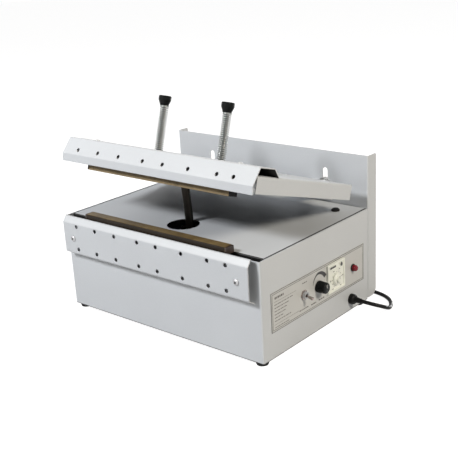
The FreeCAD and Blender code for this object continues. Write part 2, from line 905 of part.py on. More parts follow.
def make_hinge_brackets():
    body = machine_body("hinge_brackets")
    for side in BOTH_SIDES:
        plate = sketch(body, "XZ", "housing_depth")
        low = "lug_x - lug_width / 2"
        high = "slot_x + hinge_slot_width + hinge_bolt_radius"
        polygon(plate, [(f"{side} * ({x})", z) for x, z in (
            (low, "bracket_low"), (high, "bracket_low"), (high, "bracket_high"), (low, "bracket_high"))])
        pad(plate, "bracket_plate")
        tongue = sketch(body, "XZ", "housing_depth")
        disc(tongue, f"{side} * slot_x", "hinge_bolt_z", "2.5 * hinge_bolt_radius")
        pad(tongue, "bracket_plate")
        lug = sketch(body, "YZ", f"{side} * lug_x")
        polygon(lug, [
            ("hinge_y", "hinge_z - lug_radius"),
            ("housing_depth - bracket_plate", "bracket_low"),
            ("housing_depth - bracket_plate", "bracket_high"),
            ("hinge_y", "hinge_z + lug_radius"),
        ])
        pad(lug, "lug_width", both=True)
        nose = sketch(body, "YZ", f"{side} * lug_x")
        disc(nose, "hinge_y", "hinge_z", "lug_radius")
        pad(nose, "lug_width", both=True)
    bore = sketch(body, "YZ")
    disc(bore, "hinge_y", "hinge_z", "pin_radius + running_fit")
    cut(bore)
    holes = sketch(body, "XZ", "housing_depth")
    for side in BOTH_SIDES:
        disc(holes, f"{side} * slot_x", "hinge_bolt_z", "hinge_bolt_radius")
    cut(holes)


def make_hinge_bolts():
    bolts = machine_body("hinge_bolts")
    washers = machine_body("hinge_washers")
    nuts = machine_body("hinge_nuts")
    front = "housing_depth - bracket_plate"
    rear = "housing_depth + wall"
    for side in BOTH_SIDES:
        x = f"{side} * slot_x"
        head = sketch(bolts, "XZ", f"{rear} + washer_thickness")
        hexagon(head, x, "hinge_bolt_z", "3.25 * hinge_bolt_radius")
        pad(head, "1.3 * hinge_bolt_radius", backward=True)
        shank = sketch(bolts, "XZ", f"{rear} + washer_thickness")
        disc(shank, x, "hinge_bolt_z", "hinge_bolt_radius")
        pad(shank, "bracket_plate + wall + 2 * washer_thickness + 2.4 * hinge_bolt_radius")
        for y, backward in ((front, False), (rear, True)):
            ring = sketch(washers, "XZ", y)
            disc(ring, x, "hinge_bolt_z", "2.75 * hinge_bolt_radius")
            disc(ring, x, "hinge_bolt_z", "hinge_bolt_radius")
            pad(ring, "washer_thickness", backward=backward)
        ring = sketch(nuts, "XZ", f"{front} - washer_thickness")
        hexagon(ring, x, "hinge_bolt_z", "3.25 * hinge_bolt_radius")
        disc(ring, x, "hinge_bolt_z", "hinge_bolt_radius")
        pad(ring, "1.6 * hinge_bolt_radius")


EAR_GAP = "hole_gap"


def make_lid_hinge():
    ears = lid_body("hinge_ears")
    pins = lid_body("hinge_pins")
    for side in BOTH_SIDES:
        for face in BOTH_SIDES:
            middle = f"{side} * lug_x + {face} * (lug_width / 2 + {EAR_GAP} + ear_width / 2)"
            arm = sketch(ears, "YZ", middle)
            rectangle(arm, "-lid_rear", "lid_top - lid_flange", "0", "lug_radius")
            pad(arm, "ear_width", both=True)
            nose = sketch(ears, "YZ", middle)
            disc(nose, "0", "0", "lug_radius")
            pad(nose, "ear_width", both=True)
        rod = sketch(pins, "YZ", f"{side} * lug_x")
        disc(rod, "0", "0", "pin_radius")
        pad(rod, f"lug_width + 2 * ({EAR_GAP} + ear_width + 2 * wall)", both=True)
    holes = sketch(ears, "YZ")
    disc(holes, "0", "0", "pin_radius")
    cut(holes)


# Pressure gear on the lid


def post_places():
    for side in BOTH_SIDES:
        yield f"{side} * post_x", "-post_front"


def make_yoke():
    body = lid_body("pressure_yoke")
    plan = sketch(body, "XY", "yoke_low")
    half = "post_x + yoke_end"
    rectangle(plan, f"-({half})", "-post_front - yoke_width / 2", half, "-post_front + yoke_width / 2")
    for x, y in post_places():
        disc(plan, x, y, "post_radius")
    pad(plan, "yoke_height")
    for face in BOTH_SIDES:
        middle = f"{face} * (rod_radius + hole_gap + fork_width / 2)"
        cheek = sketch(body, "YZ", middle)
        rectangle(cheek, "-post_front - fork_radius", "pivot_low", "-post_front + fork_radius", "yoke_low")
        pad(cheek, "fork_width", both=True)
        nose = sketch(body, "YZ", middle)
        disc(nose, "-post_front", "pivot_low", "fork_radius")
        pad(nose, "fork_width", both=True)
    bore = sketch(body, "YZ")
    disc(bore, "-post_front", "pivot_low", "rod_pin_radius")
    cut(bore, "4 * rod_radius")


def make_posts():
    posts = lid_body("spring_posts")
    nuts = lid_body("stop_nuts")
    washers = lid_body("spring_washers")
    for x, y in post_places():
        rod = sketch(posts, "XY", "yoke_low")
        disc(rod, x, y, "post_radius")
        pad(rod, "lid_top - yoke_low + knob_rise + 0.7 * knob_height")
        ring = sketch(nuts, "XY", "lid_top - wall - hole_gap")
        hexagon(ring, x, y, "3.25 * post_radius")
        disc(ring, x, y, "post_radius")
        pad(ring, "1.2 * post_radius", backward=True)
        ring = sketch(washers, "XY", "lid_top")
        disc(ring, x, y, "washer_radius")
        disc(ring, x, y, "post_radius + bore_gap")
        pad(ring, "washer_thickness")


def make_knobs():
    for label, side in (("pressure_knob_left", -1), ("pressure_knob_right", 1)):
        body = lid_body(label)
        low = "lid_top + knob_rise"
        bore = "post_radius + running_fit"
        socket = f"{low} + 0.7 * knob_height + hole_gap"
        profile = [
            (bore, low),
            ("knob_low_radius", low),
            ("knob_low_radius + knob_flare", f"{low} + 0.12 * knob_height"),
            ("knob_top_radius", f"{low} + 0.55 * knob_height"),
            ("knob_top_radius", f"{low} + 0.92 * knob_height"),
            ("0.9 * knob_top_radius", f"{low} + knob_height"),
            ("0", f"{low} + knob_height"),
            ("0", socket),
            (bore, socket),
        ]
        turn_upright(body, f"{side} * post_x", "-post_front", profile)


SPRING_LOW = "lid_top + washer_thickness + spring_wire + spring_gap"
SPRING_LENGTH = "knob_rise - washer_thickness - 2 * (spring_wire + spring_gap)"


def spring_on_lid(label, x):
    """Wire spring round a post: a round wire swept along a helix."""
    coil = doc.addObject("Part::Helix", label + "_line")
    bind(coil, "Pitch", "spring_pitch")
    bind(coil, "Height", SPRING_LENGTH)
    bind(coil, "Radius", "spring_radius")
    wire = doc.addObject("Part::Circle", label + "_wire")
    bind(wire, "Radius", "spring_wire")
    bind(wire, "Placement.Base.x", "spring_radius")
    wire.Placement.Rotation = FreeCAD.Rotation(FreeCAD.Vector(1, 0, 0), 90)
    swept = doc.addObject("Part::Sweep", label)
    swept.Label = label
    swept.Sections = [wire]
    swept.Spine = (coil, ["Edge1"])
    swept.Solid = True
    swept.Frenet = True
    swept.Placement.Rotation = FreeCAD.Rotation(FreeCAD.Vector(-1, 0, 0), number("open_angle"))
    bind(swept, "Placement.Rotation.Angle", "open_angle")
    place(
        swept,
        x,
        f"hinge_y - post_front * cos(open_angle) + ({SPRING_LOW}) * sin(open_angle)",
        f"hinge_z + post_front * sin(open_angle) + ({SPRING_LOW}) * cos(open_angle)",
    )
    finished[label] = swept


def make_springs():
    spring_on_lid("pressure_spring_left", "-post_x")
    spring_on_lid("pressure_spring_right", "post_x")


# Pull rod and magnet

PIVOT_Y = "hinge_y - post_front * cos(open_angle) + pivot_low * sin(open_angle)"
PIVOT_Z = "hinge_z + post_front * sin(open_angle) + pivot_low * cos(open_angle)"
LOWER_PIN_Z = f"{PIVOT_Z} - rod_length * cos(rod_lean)"
MAGNET_Y = f"{PIVOT_Y} + rod_length * sin(rod_lean) - rod_swing / 2"


def rod_body(label):
    body = machine_body(label, "0", PIVOT_Y, PIVOT_Z)
    body.Placement.Rotation = FreeCAD.Rotation(FreeCAD.Vector(1, 0, 0), number("rod_lean"))
    bind(body, "Placement.Rotation.Angle", "rod_lean")
    return body


def make_pull_rod():
    body = rod_body("pull_rod")
    shaft = sketch(body, "XY", "-rod_length")
    disc(shaft, "0", "0", "rod_radius")
    pad(shaft, "rod_length")
    for z in ("0", "-rod_length"):
        eye = sketch(body, "YZ")
        disc(eye, "0", z, "rod_radius + rod_eye_rim")
        pad(eye, "1.6 * rod_radius", both=True)
    top_bore = sketch(body, "YZ")
    disc(top_bore, "0", "0", "rod_pin_radius + running_fit")
    cut(top_bore, "4 * rod_radius")
    low_bore = sketch(body, "YZ")
    disc(low_bore, "0", "-rod_length", "rod_pin_radius")
    cut(low_bore, "4 * rod_radius")
    pin = rod_body("lower_rod_pin")
    drawing = sketch(pin, "YZ")
    disc(drawing, "0", "-rod_length", "rod_pin_radius")
    pad(drawing, "2 * (rod_radius + plunger_fork - rod_pin_inset)", both=True)
    upper = lid_body("upper_rod_pin")
    drawing = sketch(upper, "YZ")
    disc(drawing, "-post_front", "pivot_low", "rod_pin_radius")
    pad(drawing, "2 * (rod_radius + hole_gap + fork_width + wall)", both=True)


def make_plunger():
    body = machine_body("magnet_plunger")
    solid = sketch(body, "XY", f"{LOWER_PIN_Z} - plunger_below_pin")
    disc(solid, "0", MAGNET_Y, "plunger_radius")
    pad(solid, "plunger_below_pin + 2 * rod_pin_radius")
    fork = sketch(body, "YZ")
    rectangle(
        fork,
        f"{MAGNET_Y} - 2 * plunger_radius",
        f"{LOWER_PIN_Z} - rod_radius - 8 * hole_gap",
        f"{MAGNET_Y} + 2 * plunger_radius",
        f"{LOWER_PIN_Z} + 4 * rod_radius",
    )
    cut(fork, "2 * rod_radius + 2 * hole_gap")
    slot = sketch(body, "YZ")
    reach = "rod_pin_radius + plunger_slot_play"
    rectangle(
        slot,
        f"{MAGNET_Y} - ({reach})",
        f"{LOWER_PIN_Z} - rod_pin_radius - hole_gap",
        f"{MAGNET_Y} + {reach}",
        f"{LOWER_PIN_Z} + rod_pin_radius + hole_gap",
    )
    cut(slot)


def make_magnet():
    frame = machine_body("magnet_frame")
    side = sketch(frame, "XZ", MAGNET_Y)
    outer = "magnet_half_width"
    inner = "magnet_half_width - magnet_plate"
    polygon(side, [
        (f"-({outer})", "wall"), (outer, "wall"), (outer, "magnet_top"), (f"-({outer})", "magnet_top")])
    polygon(side, [
        (f"-({inner})", "wall + magnet_plate"), (inner, "wall + magnet_plate"),
        (inner, "magnet_top - magnet_plate"), (f"-({inner})", "magnet_top - magnet_plate")])
    pad(side, "2 * magnet_half_depth", both=True)
    bore = sketch(frame, "XY", "magnet_top")
    disc(bore, "0", MAGNET_Y, "plunger_radius + bore_gap")
    cut(bore, "4 * magnet_plate")
    coil = machine_body("magnet_coil")
    ring = sketch(coil, "XY", "wall + magnet_plate")
    disc(ring, "0", MAGNET_Y, "coil_radius")
    disc(ring, "0", MAGNET_Y, "plunger_radius + bore_gap")
    pad(ring, "magnet_top - wall - 2 * magnet_plate")


def make_power_supply():
    core = machine_body("transformer_core", "-core_x", "core_y", "wall")
    side = sketch(core, "XZ")
    window = "(core_width / 2 - 2 * core_limb)"
    rectangle(side, "-core_width / 2", "0", "core_width / 2", "core_height")
    for edge in BOTH_SIDES:
        middle = f"{edge} * (core_limb + {window} / 2)"
        near_edge = f"{middle} - {window} / 2"
        far_edge = f"{middle} + {window} / 2"
        rectangle(side, near_edge, "core_limb", far_edge, "core_height - core_limb")
    pad(side, "core_stack", both=True)
    winding = machine_body("transformer_winding", "-core_x", "core_y", "wall")
    plan = sketch(winding, "XY", "core_limb + hole_gap")
    outer = f"core_limb + {window} - hole_gap"
    deep = "core_stack / 2 + core_limb"
    rectangle(plan, f"-({outer})", f"-({deep})", outer, deep)
    bore_x = "core_limb + hole_gap"
    bore_y = "core_stack / 2 + hole_gap"
    rectangle(plan, f"-({bore_x})", f"-({bore_y})", bore_x, bore_y)
    pad(plan, "core_height - 2 * (core_limb + hole_gap)")


# Controls on the right wall


def make_control_plate():
    body = wall_body("control_plate", "0", "0")
    face = sketch(body, "YZ")
    rectangle(face, "plate_front", "plate_low", "plate_rear", "plate_high")
    panel_cutouts(face)
    pad(face, "plate_thickness")


def make_panel_nuts():
    body = wall_body("panel_nuts", "0", "0", "plate_thickness")
    for y, z, across, bore in (
        ("toggle_y", "toggle_z", "2.4 * toggle_bushing", "toggle_bushing"),
        ("heat_y", "heat_z", "2.5 * heat_bushing", "heat_bushing"),
    ):
        face = sketch(body, "YZ")
        hexagon(face, y, z, across)
        disc(face, y, z, bore)
        pad(face, "panel_nut")


def make_toggle():
    body = wall_body("toggle_switch", "toggle_y", "toggle_z")
    profile = [
        ("-wall", "0"), ("-wall", "toggle_bushing"), ("toggle_reach", "toggle_bushing"),
        ("toggle_reach", "lever_bore"), ("-lever_floor", "lever_bore"), ("-lever_floor", "0"),
    ]
    turn_outward(body, profile)
    case = sketch(body, "YZ", "-wall")
    half_width = "toggle_case_width / 2"
    half_height = "toggle_case_height / 2"
    rectangle(case, f"-{half_width}", f"-{half_height}", half_width, half_height)
    pad(case, "toggle_case_depth", backward=True)
    lever = wall_body("toggle_lever", "toggle_y", "toggle_z", "lever_pivot")
    lever.Placement.Rotation = FreeCAD.Rotation(FreeCAD.Vector(0, 1, 0), number("toggle_tilt"))
    bind(lever, "Placement.Rotation.Angle", "toggle_tilt")
    profile = [
        ("-lever_ball", "0"),
        ("-ball_bend_out", "ball_bend_radius"),
        ("0", "lever_ball"),
        ("ball_bend_out", "ball_bend_radius"),
        ("lever_neck_out", "lever_neck_radius"),
        ("0.75 * lever_length", "lever_grip_radius"),
        ("lever_length - lever_chamfer", "lever_grip_radius"),
        ("lever_length", "lever_grip_radius - lever_chamfer"),
        ("lever_length", "0"),
    ]
    turn_outward(lever, profile)
    trunnion = sketch(lever, "XZ")
    disc(trunnion, "0", "0", "lever_pin")
    pad(trunnion, "2 * (lever_bore - bore_gap)", both=True)


def make_heat_control():
    pot = wall_body("heat_potentiometer", "heat_y", "heat_z")
    bore = "shaft_radius + running_fit"
    profile = [
        ("-pot_depth", bore),
        ("-pot_depth", "pot_radius"),
        ("-wall", "pot_radius"),
        ("-wall", "heat_bushing"),
        ("heat_reach", "heat_bushing"), ("heat_reach", bore),
    ]
    turn_outward(pot, profile)
    shaft = wall_body("heat_shaft", "heat_y", "heat_z")
    inner_end = "pot_depth - shaft_inset"
    drawing = sketch(shaft, "YZ", f"-({inner_end})")
    disc(drawing, "0", "0", "shaft_radius")
    pad(drawing, f"heat_knob_length - heat_knob_crown + {inner_end}")
    knob = wall_body("heat_knob", "heat_y", "heat_z")
    foot = "plate_thickness + hole_gap"
    cavity = "heat_reach + hole_gap"
    crown = "heat_knob_length - heat_knob_crown"
    profile = [
        (foot, "heat_knob_bore"),
        (foot, "heat_knob_radius"),
        ("0.3 * heat_knob_length", "heat_knob_radius"),
        ("0.9 * heat_knob_length", "0.9 * heat_knob_radius"),
        ("heat_knob_length", "0.82 * heat_knob_radius"),
        ("heat_knob_length", "0"),
        (crown, "0"),
        (crown, "shaft_radius"),
        (cavity, "shaft_radius"),
        (cavity, "heat_knob_bore"),
    ]
    turn_outward(knob, profile)


def make_timer():
    body = wall_body("timer_module", "timer_y", "timer_z")
    case = sketch(body, "YZ", "plate_thickness")
    rectangle(case, "-timer_body / 2", "-timer_body / 2", "timer_body / 2", "timer_body / 2")
    pad(case, "timer_depth", backward=True)
    bezel = sketch(body, "YZ", "plate_thickness")
    rectangle(bezel, "-timer_face / 2", "-timer_face / 2", "timer_face / 2", "timer_face / 2")
    pad(bezel, "timer_bezel")
    recess = sketch(body, "YZ", "plate_thickness + timer_bezel")
    inner = "timer_face / 2 - timer_rim"
    rectangle(recess, f"-({inner})", f"-({inner})", inner, inner)
    cut(recess, "timer_recess", both=False)
    bore = sketch(body, "YZ", "plate_thickness + timer_bezel")
    disc(bore, "0", "-timer_dial_drop", "shaft_radius + running_fit")
    cut(bore, "timer_bore_depth", both=False)
    dial_back = "bore_gap - timer_recess"
    dial = wall_body("timer_dial", "timer_y", "timer_z - timer_dial_drop", "plate_thickness + timer_bezel")
    profile = [
        ("-timer_shaft_depth", "0"),
        ("-timer_shaft_depth", "shaft_radius"),
        (dial_back, "shaft_radius"),
        (dial_back, "timer_dial_radius"),
        ("timer_dial_edge", "timer_dial_radius"),
        ("timer_dial_face", "0.92 * timer_dial_radius"),
        ("timer_dial_face", "0.55 * timer_dial_radius"),
        ("timer_grip_high", "0.48 * timer_dial_radius"),
        ("timer_grip_high", "0"),
    ]
    turn_outward(dial, profile)


def make_lamp():
    body = wall_body("lamp_holder", "lamp_y", "lamp_z")
    bezel_face = "plate_thickness + lamp_bezel_high"
    profile = [
        ("-lamp_can_depth", "0"),
        ("-lamp_can_depth", "lamp_can_radius"),
        ("-wall", "lamp_can_radius"),
        ("-wall", "lamp_hole"),
        ("plate_thickness", "lamp_hole"),
        ("plate_thickness", "lamp_bezel_radius"),
        ("plate_thickness + lamp_bezel_edge", "lamp_bezel_radius"),
        (bezel_face, "0.9 * lamp_bezel_radius"),
        (bezel_face, "0"),
    ]
    turn_outward(body, profile)
    lens = wall_body("lamp_lens", "lamp_y", "lamp_z", bezel_face)
    dome = "0.82 * lamp_bezel_radius"
    profile = [("0", "0"), ("0", dome), (f"0.7 * {dome}", dome), (f"1.15 * {dome}", f"0.8 * {dome}"),
               (f"1.4 * {dome}", f"0.4 * {dome}"), (f"1.45 * {dome}", "0")]
    turn_outward(lens, profile)


def make_gland():
    body = wall_body("cable_gland", "gland_y", "gland_z")
    bore = "cord_radius + cord_gap"
    profile = [
        ("-gland_tail", bore),
        ("-gland_tail", "gland_hole"),
        ("0", "gland_hole"),
        ("0", "gland_flange_radius"),
        ("gland_cap", "gland_flange_radius"),
        ("gland_cap + gland_chamfer", "0.8 * gland_flange_radius"),
        ("gland_cap + gland_neck_out", "cord_radius + gland_sleeve"),
        ("gland_reach", "cord_radius + gland_lip"),
        ("gland_reach", bore),
    ]
    turn_outward(body, profile)


# Power cord


def cord_wire(points):
    """Straight runs through the points, joined by arcs as large as the runs allow."""
    corners = [FreeCAD.Vector(*point) for point in points]
    start = corners[0]
    edges = []
    radii = []
    for before, corner, after in zip(corners, corners[1:], corners[2:]):
        back = (before - corner).normalize()
        ahead = (after - corner).normalize()
        reach = 0.45 * min(before.distanceToPoint(corner), after.distanceToPoint(corner))
        half_turn = (math.pi - back.getAngle(ahead)) / 2
        radius = reach / math.tan(half_turn)
        bisector = (back + ahead).normalize()
        middle = corner + bisector * (radius / math.cos(half_turn) - radius)
        arc_start = corner + back * reach
        arc_end = corner + ahead * reach
        edges.append(Part.LineSegment(start, arc_start).toShape())
        edges.append(Part.Arc(arc_start, middle, arc_end).toShape())
        radii.append(round(radius, 1))
        start = arc_end
    edges.append(Part.LineSegment(start, corners[-1]).toShape())
    print("cord radii", radii)
    return Part.Wire(edges)


def make_cord():
    path = cord_wire(CORD_ROUTE)
    first, second = (FreeCAD.Vector(*point) for point in CORD_ROUTE[:2])
    section = Part.Wire(Part.Circle(first, second - first, number("cord_radius")).toShape())
    cord = doc.addObject("Part::Feature", "power_cord")
    cord.Label = "power_cord"
    cord.Shape = path.makePipeShell([section], True, False)
    finished["power_cord"] = cord
    share = cord.Shape.Volume / (path.Length * math.pi * number("cord_radius") ** 2)
    print(f"cord runs {path.Length:.1f} mm, volume over section times length {share:.4f}")


def make_cord_coil():
    coil = machine_body("cord_coil", "coil_x", "coil_y", "-foot_height")
    inner = "coil_mid_radius - coil_half_width"
    outer = "coil_mid_radius + coil_half_width"
    low = "tie_thickness"
    high = "tie_thickness + coil_height"
    turn_upright(coil, "0", "0", [
        (f"{inner} + cord_radius", low), (f"{outer} - cord_radius", low),
        (outer, f"{low} + cord_radius"), (outer, f"{high} - cord_radius"),
        (f"{outer} - cord_radius", high), (f"{inner} + cord_radius", high),
        (inner, f"{high} - cord_radius"), (inner, f"{low} + cord_radius"),
    ])
    tie = machine_body("cord_tie", "coil_x", "coil_y", "-foot_height")
    ring = sketch(tie, "XZ")
    left = f"{inner} - 2 * tie_thickness"
    right = f"{outer} + 2 * tie_thickness"
    rectangle(ring, left, "0", right, f"{high} + tie_thickness")
    rectangle(ring, f"{inner} - tie_thickness", low, f"{outer} + tie_thickness", high)
    pad(ring, "tie_width", both=True)


def make_plug():
    near_turn = "coil_mid_radius + coil_half_width - cord_radius"
    plug_y = f"coil_y - ({near_turn})"
    body = machine_body("power_plug", "coil_x - 2 * coil_half_width", plug_y, "-foot_height")
    axis_high = "tie_thickness + coil_height - cord_radius"
    drawing = sketch(body, "XY", axis_high)
    tail = "1.2 * coil_half_width"
    start = f"-({tail}) - plug_tail"
    polygon(drawing, [
        ("0", "0"),
        ("0", "cord_radius"),
        (f"-({tail})", "cord_radius"),
        (f"-({tail})", "cord_radius + plug_tail_thin"),
        (start, "cord_radius + plug_tail_thick"),
        (start, "0"),
    ])
    revolve(drawing, "H_Axis")
    end = f"{start} - plug_length"
    grip = sketch(body, "XY")
    half = "plug_width / 2"
    polygon(grip, [
        (f"{start} + plug_overlap", "-0.3 * plug_width"),
        (f"{start} + plug_overlap", "0.3 * plug_width"),
        (f"{start} - plug_shoulder", half),
        (end, half),
        (end, f"-{half}"),
        (f"{start} - plug_shoulder", f"-{half}"),
    ])
    pad(grip, f"2 * ({axis_high})")
    for side in BOTH_SIDES:
        pins = sketch(body, "YZ", end)
        disc(pins, f"{side} * plug_pin_spacing / 2", axis_high, "plug_pin_radius")
        pad(pins, "plug_pin_length", backward=True)


def check_and_write():
    doc.recompute()
    for thing in doc.Objects:
        if "Invalid" in thing.State or "Error" in thing.State:
            raise ValueError(f"{thing.Label} failed: {thing.State}")
    for label, thing in finished.items():
        if thing.Shape.isNull() or not thing.Shape.isValid():
            raise ValueError(f"{label} has no valid shape")
    os.makedirs("parts", exist_ok=True)
    for label, thing in finished.items():
        thing.Shape.exportStep(f"parts/{label}.step")
        print(f"{label}: {len(thing.Shape.Solids)} solid(s), {thing.Shape.Volume:.0f} mm3")


make_housing_shell()
make_base_plate()
make_top_plate()
make_back_panel()
make_panel_screws()
make_feet()
make_bumpers()
make_lower_cover()
make_cover_fasteners()
make_lower_bar()
make_lower_cloth()
make_bar_supports()
make_lid_plate()
make_upper_cover()
make_upper_bar()
make_hinge_brackets()
make_hinge_bolts()
make_lid_hinge()
make_yoke()
make_posts()
make_knobs()
make_springs()
make_pull_rod()
make_plunger()
make_magnet()
make_power_supply()
make_control_plate()
make_panel_nuts()
make_toggle()
make_heat_control()
make_timer()
make_lamp()
make_gland()
make_cord()
make_cord_coil()
make_plug()
check_and_write()
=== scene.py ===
import json
import math
from collections import namedtuple

import bpy
from mathutils import Matrix, Vector


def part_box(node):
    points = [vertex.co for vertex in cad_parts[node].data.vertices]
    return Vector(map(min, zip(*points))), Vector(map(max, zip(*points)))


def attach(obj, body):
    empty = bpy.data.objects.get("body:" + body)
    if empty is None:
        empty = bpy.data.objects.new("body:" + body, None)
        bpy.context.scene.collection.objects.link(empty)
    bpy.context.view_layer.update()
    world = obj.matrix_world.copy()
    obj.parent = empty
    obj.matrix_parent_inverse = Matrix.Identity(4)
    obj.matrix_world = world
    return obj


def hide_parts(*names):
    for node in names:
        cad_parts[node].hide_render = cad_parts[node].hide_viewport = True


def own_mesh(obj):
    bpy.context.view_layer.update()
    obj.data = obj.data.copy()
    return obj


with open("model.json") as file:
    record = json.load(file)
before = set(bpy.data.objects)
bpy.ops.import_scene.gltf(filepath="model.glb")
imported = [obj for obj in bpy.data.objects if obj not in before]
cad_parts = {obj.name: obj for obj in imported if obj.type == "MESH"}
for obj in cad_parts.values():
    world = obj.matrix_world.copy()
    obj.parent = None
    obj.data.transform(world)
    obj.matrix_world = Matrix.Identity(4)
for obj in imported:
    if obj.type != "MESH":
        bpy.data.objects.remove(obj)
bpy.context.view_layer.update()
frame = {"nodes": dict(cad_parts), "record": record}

MM = 0.001

# Camera solved from the photograph: degrees, metres, and millimetres of lens and sensor
CAMERA_AZIMUTH = 40.882
CAMERA_ELEVATION = 18.889
CAMERA_ROLL = -3.139
CAMERA_PLACE = Vector((0.9336, -1.0434, 0.6158))
CAMERA_LENS = 68.73
CAMERA_SENSOR = 36

# Directions; LID_UP runs along the spring posts of the lid as it stands open at rest
UP = (0, 0, 1)
DOWN = (0, 0, -1)
FRONT = (0, -1, 0)
RIGHT = (1, 0, 0)
FRONT_RIGHT = (0.7, -0.7, 0)
OPEN_ANGLE = math.radians(17)
LID_UP = Vector((0, math.sin(OPEN_ANGLE), math.cos(OPEN_ANGLE)))

# Pressure springs, from the washers on the lid up to the knobs
SPRING_MID_RADIUS = 6.8 * MM
SPRING_WIRE_RADIUS = 0.75 * MM
SPRING_TURNS = 28
SPRING_CLOSED_TURNS = 1.5
SPRING_CLOSED_PITCH = 2.1 * SPRING_WIRE_RADIUS
SPRING_TURN_POINTS = 20
SPRING_PLAY = 0.1 * MM
SPRING_WASHER_HALF = 0.75 * MM
PRESSURE_KNOB_HALF = 8 * MM

# Power cord: its route as in the CAD model, then the coil's turns
CORD_DIAMETER = 6.5 * MM
CORD_ROUTE = (
    (0.222, 0.091, 0.027),
    (0.236, 0.091, 0.027),
    (0.246, 0.091, 0.0268),
    (0.2545, 0.0945, 0.025),
    (0.2615, 0.1015, 0.0217),
    (0.265, 0.11, 0.0174),
    (0.265, 0.12, 0.0128),
    (0.2575, 0.1375, 0.0054),
    (0.251, 0.152, 0.0034),
    (0.241, 0.1665, 0.0034),
    (0.226, 0.177, 0.0034),
    (0.206, 0.183, 0.0035),
    (0.182, 0.1845, 0.0039),
    (0.16, 0.182, 0.0043),
    (0.138, 0.1795, 0.0046),
)
COIL_CENTRE = (0.120, 0.222)
COIL_OUTER = 42.75 * MM
COIL_INNER = 29.25 * MM
COIL_LOW = 4.45 * MM
COIL_HIGH = 11.35 * MM
COIL_TURNS = 5
COIL_TURN_POINTS = 16

# Shares of the coil's length: where it climbs to its upper layer, and over how much
COIL_CLIMB_START = 0.42
COIL_CLIMB_SHARE = 0.16

# How far the cord runs into the plug, and how long the plug's pins are
CORD_IN_PLUG = 4 * MM
PLUG_PIN_LENGTH = 19 * MM

# Width of the painted shade along the housing's edges, and how far from the middle the lower cover has holes
SHADE_LINE_WIDTH = 1.1 * MM
JAW_HOLES_REACH = 190 * MM

# Light grey paint, between these two colours
PAINT_DARK = (0.55, 0.573, 0.602)
PAINT_LIGHT = (0.575, 0.599, 0.629)

# Prints on the control plate: where they lie on its face, and its border as inset and width of each line
PRINT_LOW = 0.02 * MM
PRINT_THICK = 0.08 * MM
BORDER_LINES = ((0.3 * MM, 0.8 * MM), (3 * MM, 0.7 * MM))

# Heat scale: degrees clockwise from the front, and radii at its start, middle and end
SCALE_START = 23
SCALE_END = 152
SCALE_INNER = (14.5 * MM, 19.5 * MM, 18.5 * MM)
SCALE_OUTER = (15.1 * MM, 23 * MM, 26 * MM)
SCALE_STEPS = 40

# Label: a heading, two rules and rows of dashes, with the dashes' lengths and gaps in millimetres
LABEL_INDENT = 7 * MM
HEADING_INDENT = 2 * MM
HEADING_DROP = 12 * MM
HEADING_THICK = 3.4 * MM
HEADING_GAP = 1.2
HEADING_DASHES = (3, 2, 3.4, 2.4, 3.2, 2)
LABEL_RULE_THICK = 0.4 * MM
UPPER_RULE_DROP = 16.5 * MM
UPPER_RULE_LENGTH = 56 * MM
LOWER_RULE_RISE = 11 * MM
LOWER_RULE_LENGTH = 62 * MM
ROW_INDENT = 1 * MM
ROW_DROP = 21.5 * MM
ROW_STEP = 5.2 * MM
ROW_THICK = 1.1 * MM
ROW_GAP = 1.3
FOOT_ROW_RISE = 6 * MM
LABEL_ROWS = (
    (6, 9, 4, 7, 5, 8),
    (4, 8, 6, 3, 9),
    (7, 5, 8, 6),
    (5, 9, 3, 6),
    (8, 4, 6),
    (6, 7, 4, 5, 8, 4),
)
FOOT_ROW = LABEL_ROWS[1]

# Marks by the controls, in millimetres: start beside the control's middle, and distance from the plate's edge
Mark = namedtuple("Mark", "control start edge thick dashes gap")
MARKS_AT_TOP = (
    Mark("toggle_switch", start=-3, edge=12, thick=1.5, dashes=(3, 4.2, 2.6), gap=1),
)
MARKS_AT_FOOT = (
    Mark("toggle_switch", start=-12, edge=9, thick=1.5, dashes=(4, 3, 5, 3.4, 4), gap=1),
    Mark("heat_knob", start=-20, edge=8, thick=2, dashes=(4, 5, 2), gap=1.2),
    Mark("heat_knob", start=1, edge=8.5, thick=2.2, dashes=(4.5, 4, 3.5), gap=1.4),
)

# Heat knob: its skirt's edge, then its profile and grip as shares of its length and radius
KNOB_EDGE = 0.4 * MM
KNOB_EDGE_RADIUS = 0.98
KNOB_PROFILE = ((0.2, 1), (0.23, 0.985), (0.25, 0.98), (0.9, 0.93), (0.96, 0.89), (1, 0.8))
KNOB_GRIP = (0.3, 0.93)
KNOB_FLUTES = 18
KNOB_FLUTE_DEPTH = 0.05
KNOB_STEPS = 144

# Pointers on the heat knob and the timer's dial
POINTER_LOW = -0.05 * MM
POINTER_THICK = 0.15 * MM
HEAT_POINTER_HALF = 0.5 * MM
HEAT_POINTER_START = 0.5 * MM
HEAT_POINTER_END_SHARE = 0.66
TIMER_POINTER_HALF = 0.6 * MM
TIMER_POINTER_START = 1.5 * MM
TIMER_POINTER_END = 6.4 * MM

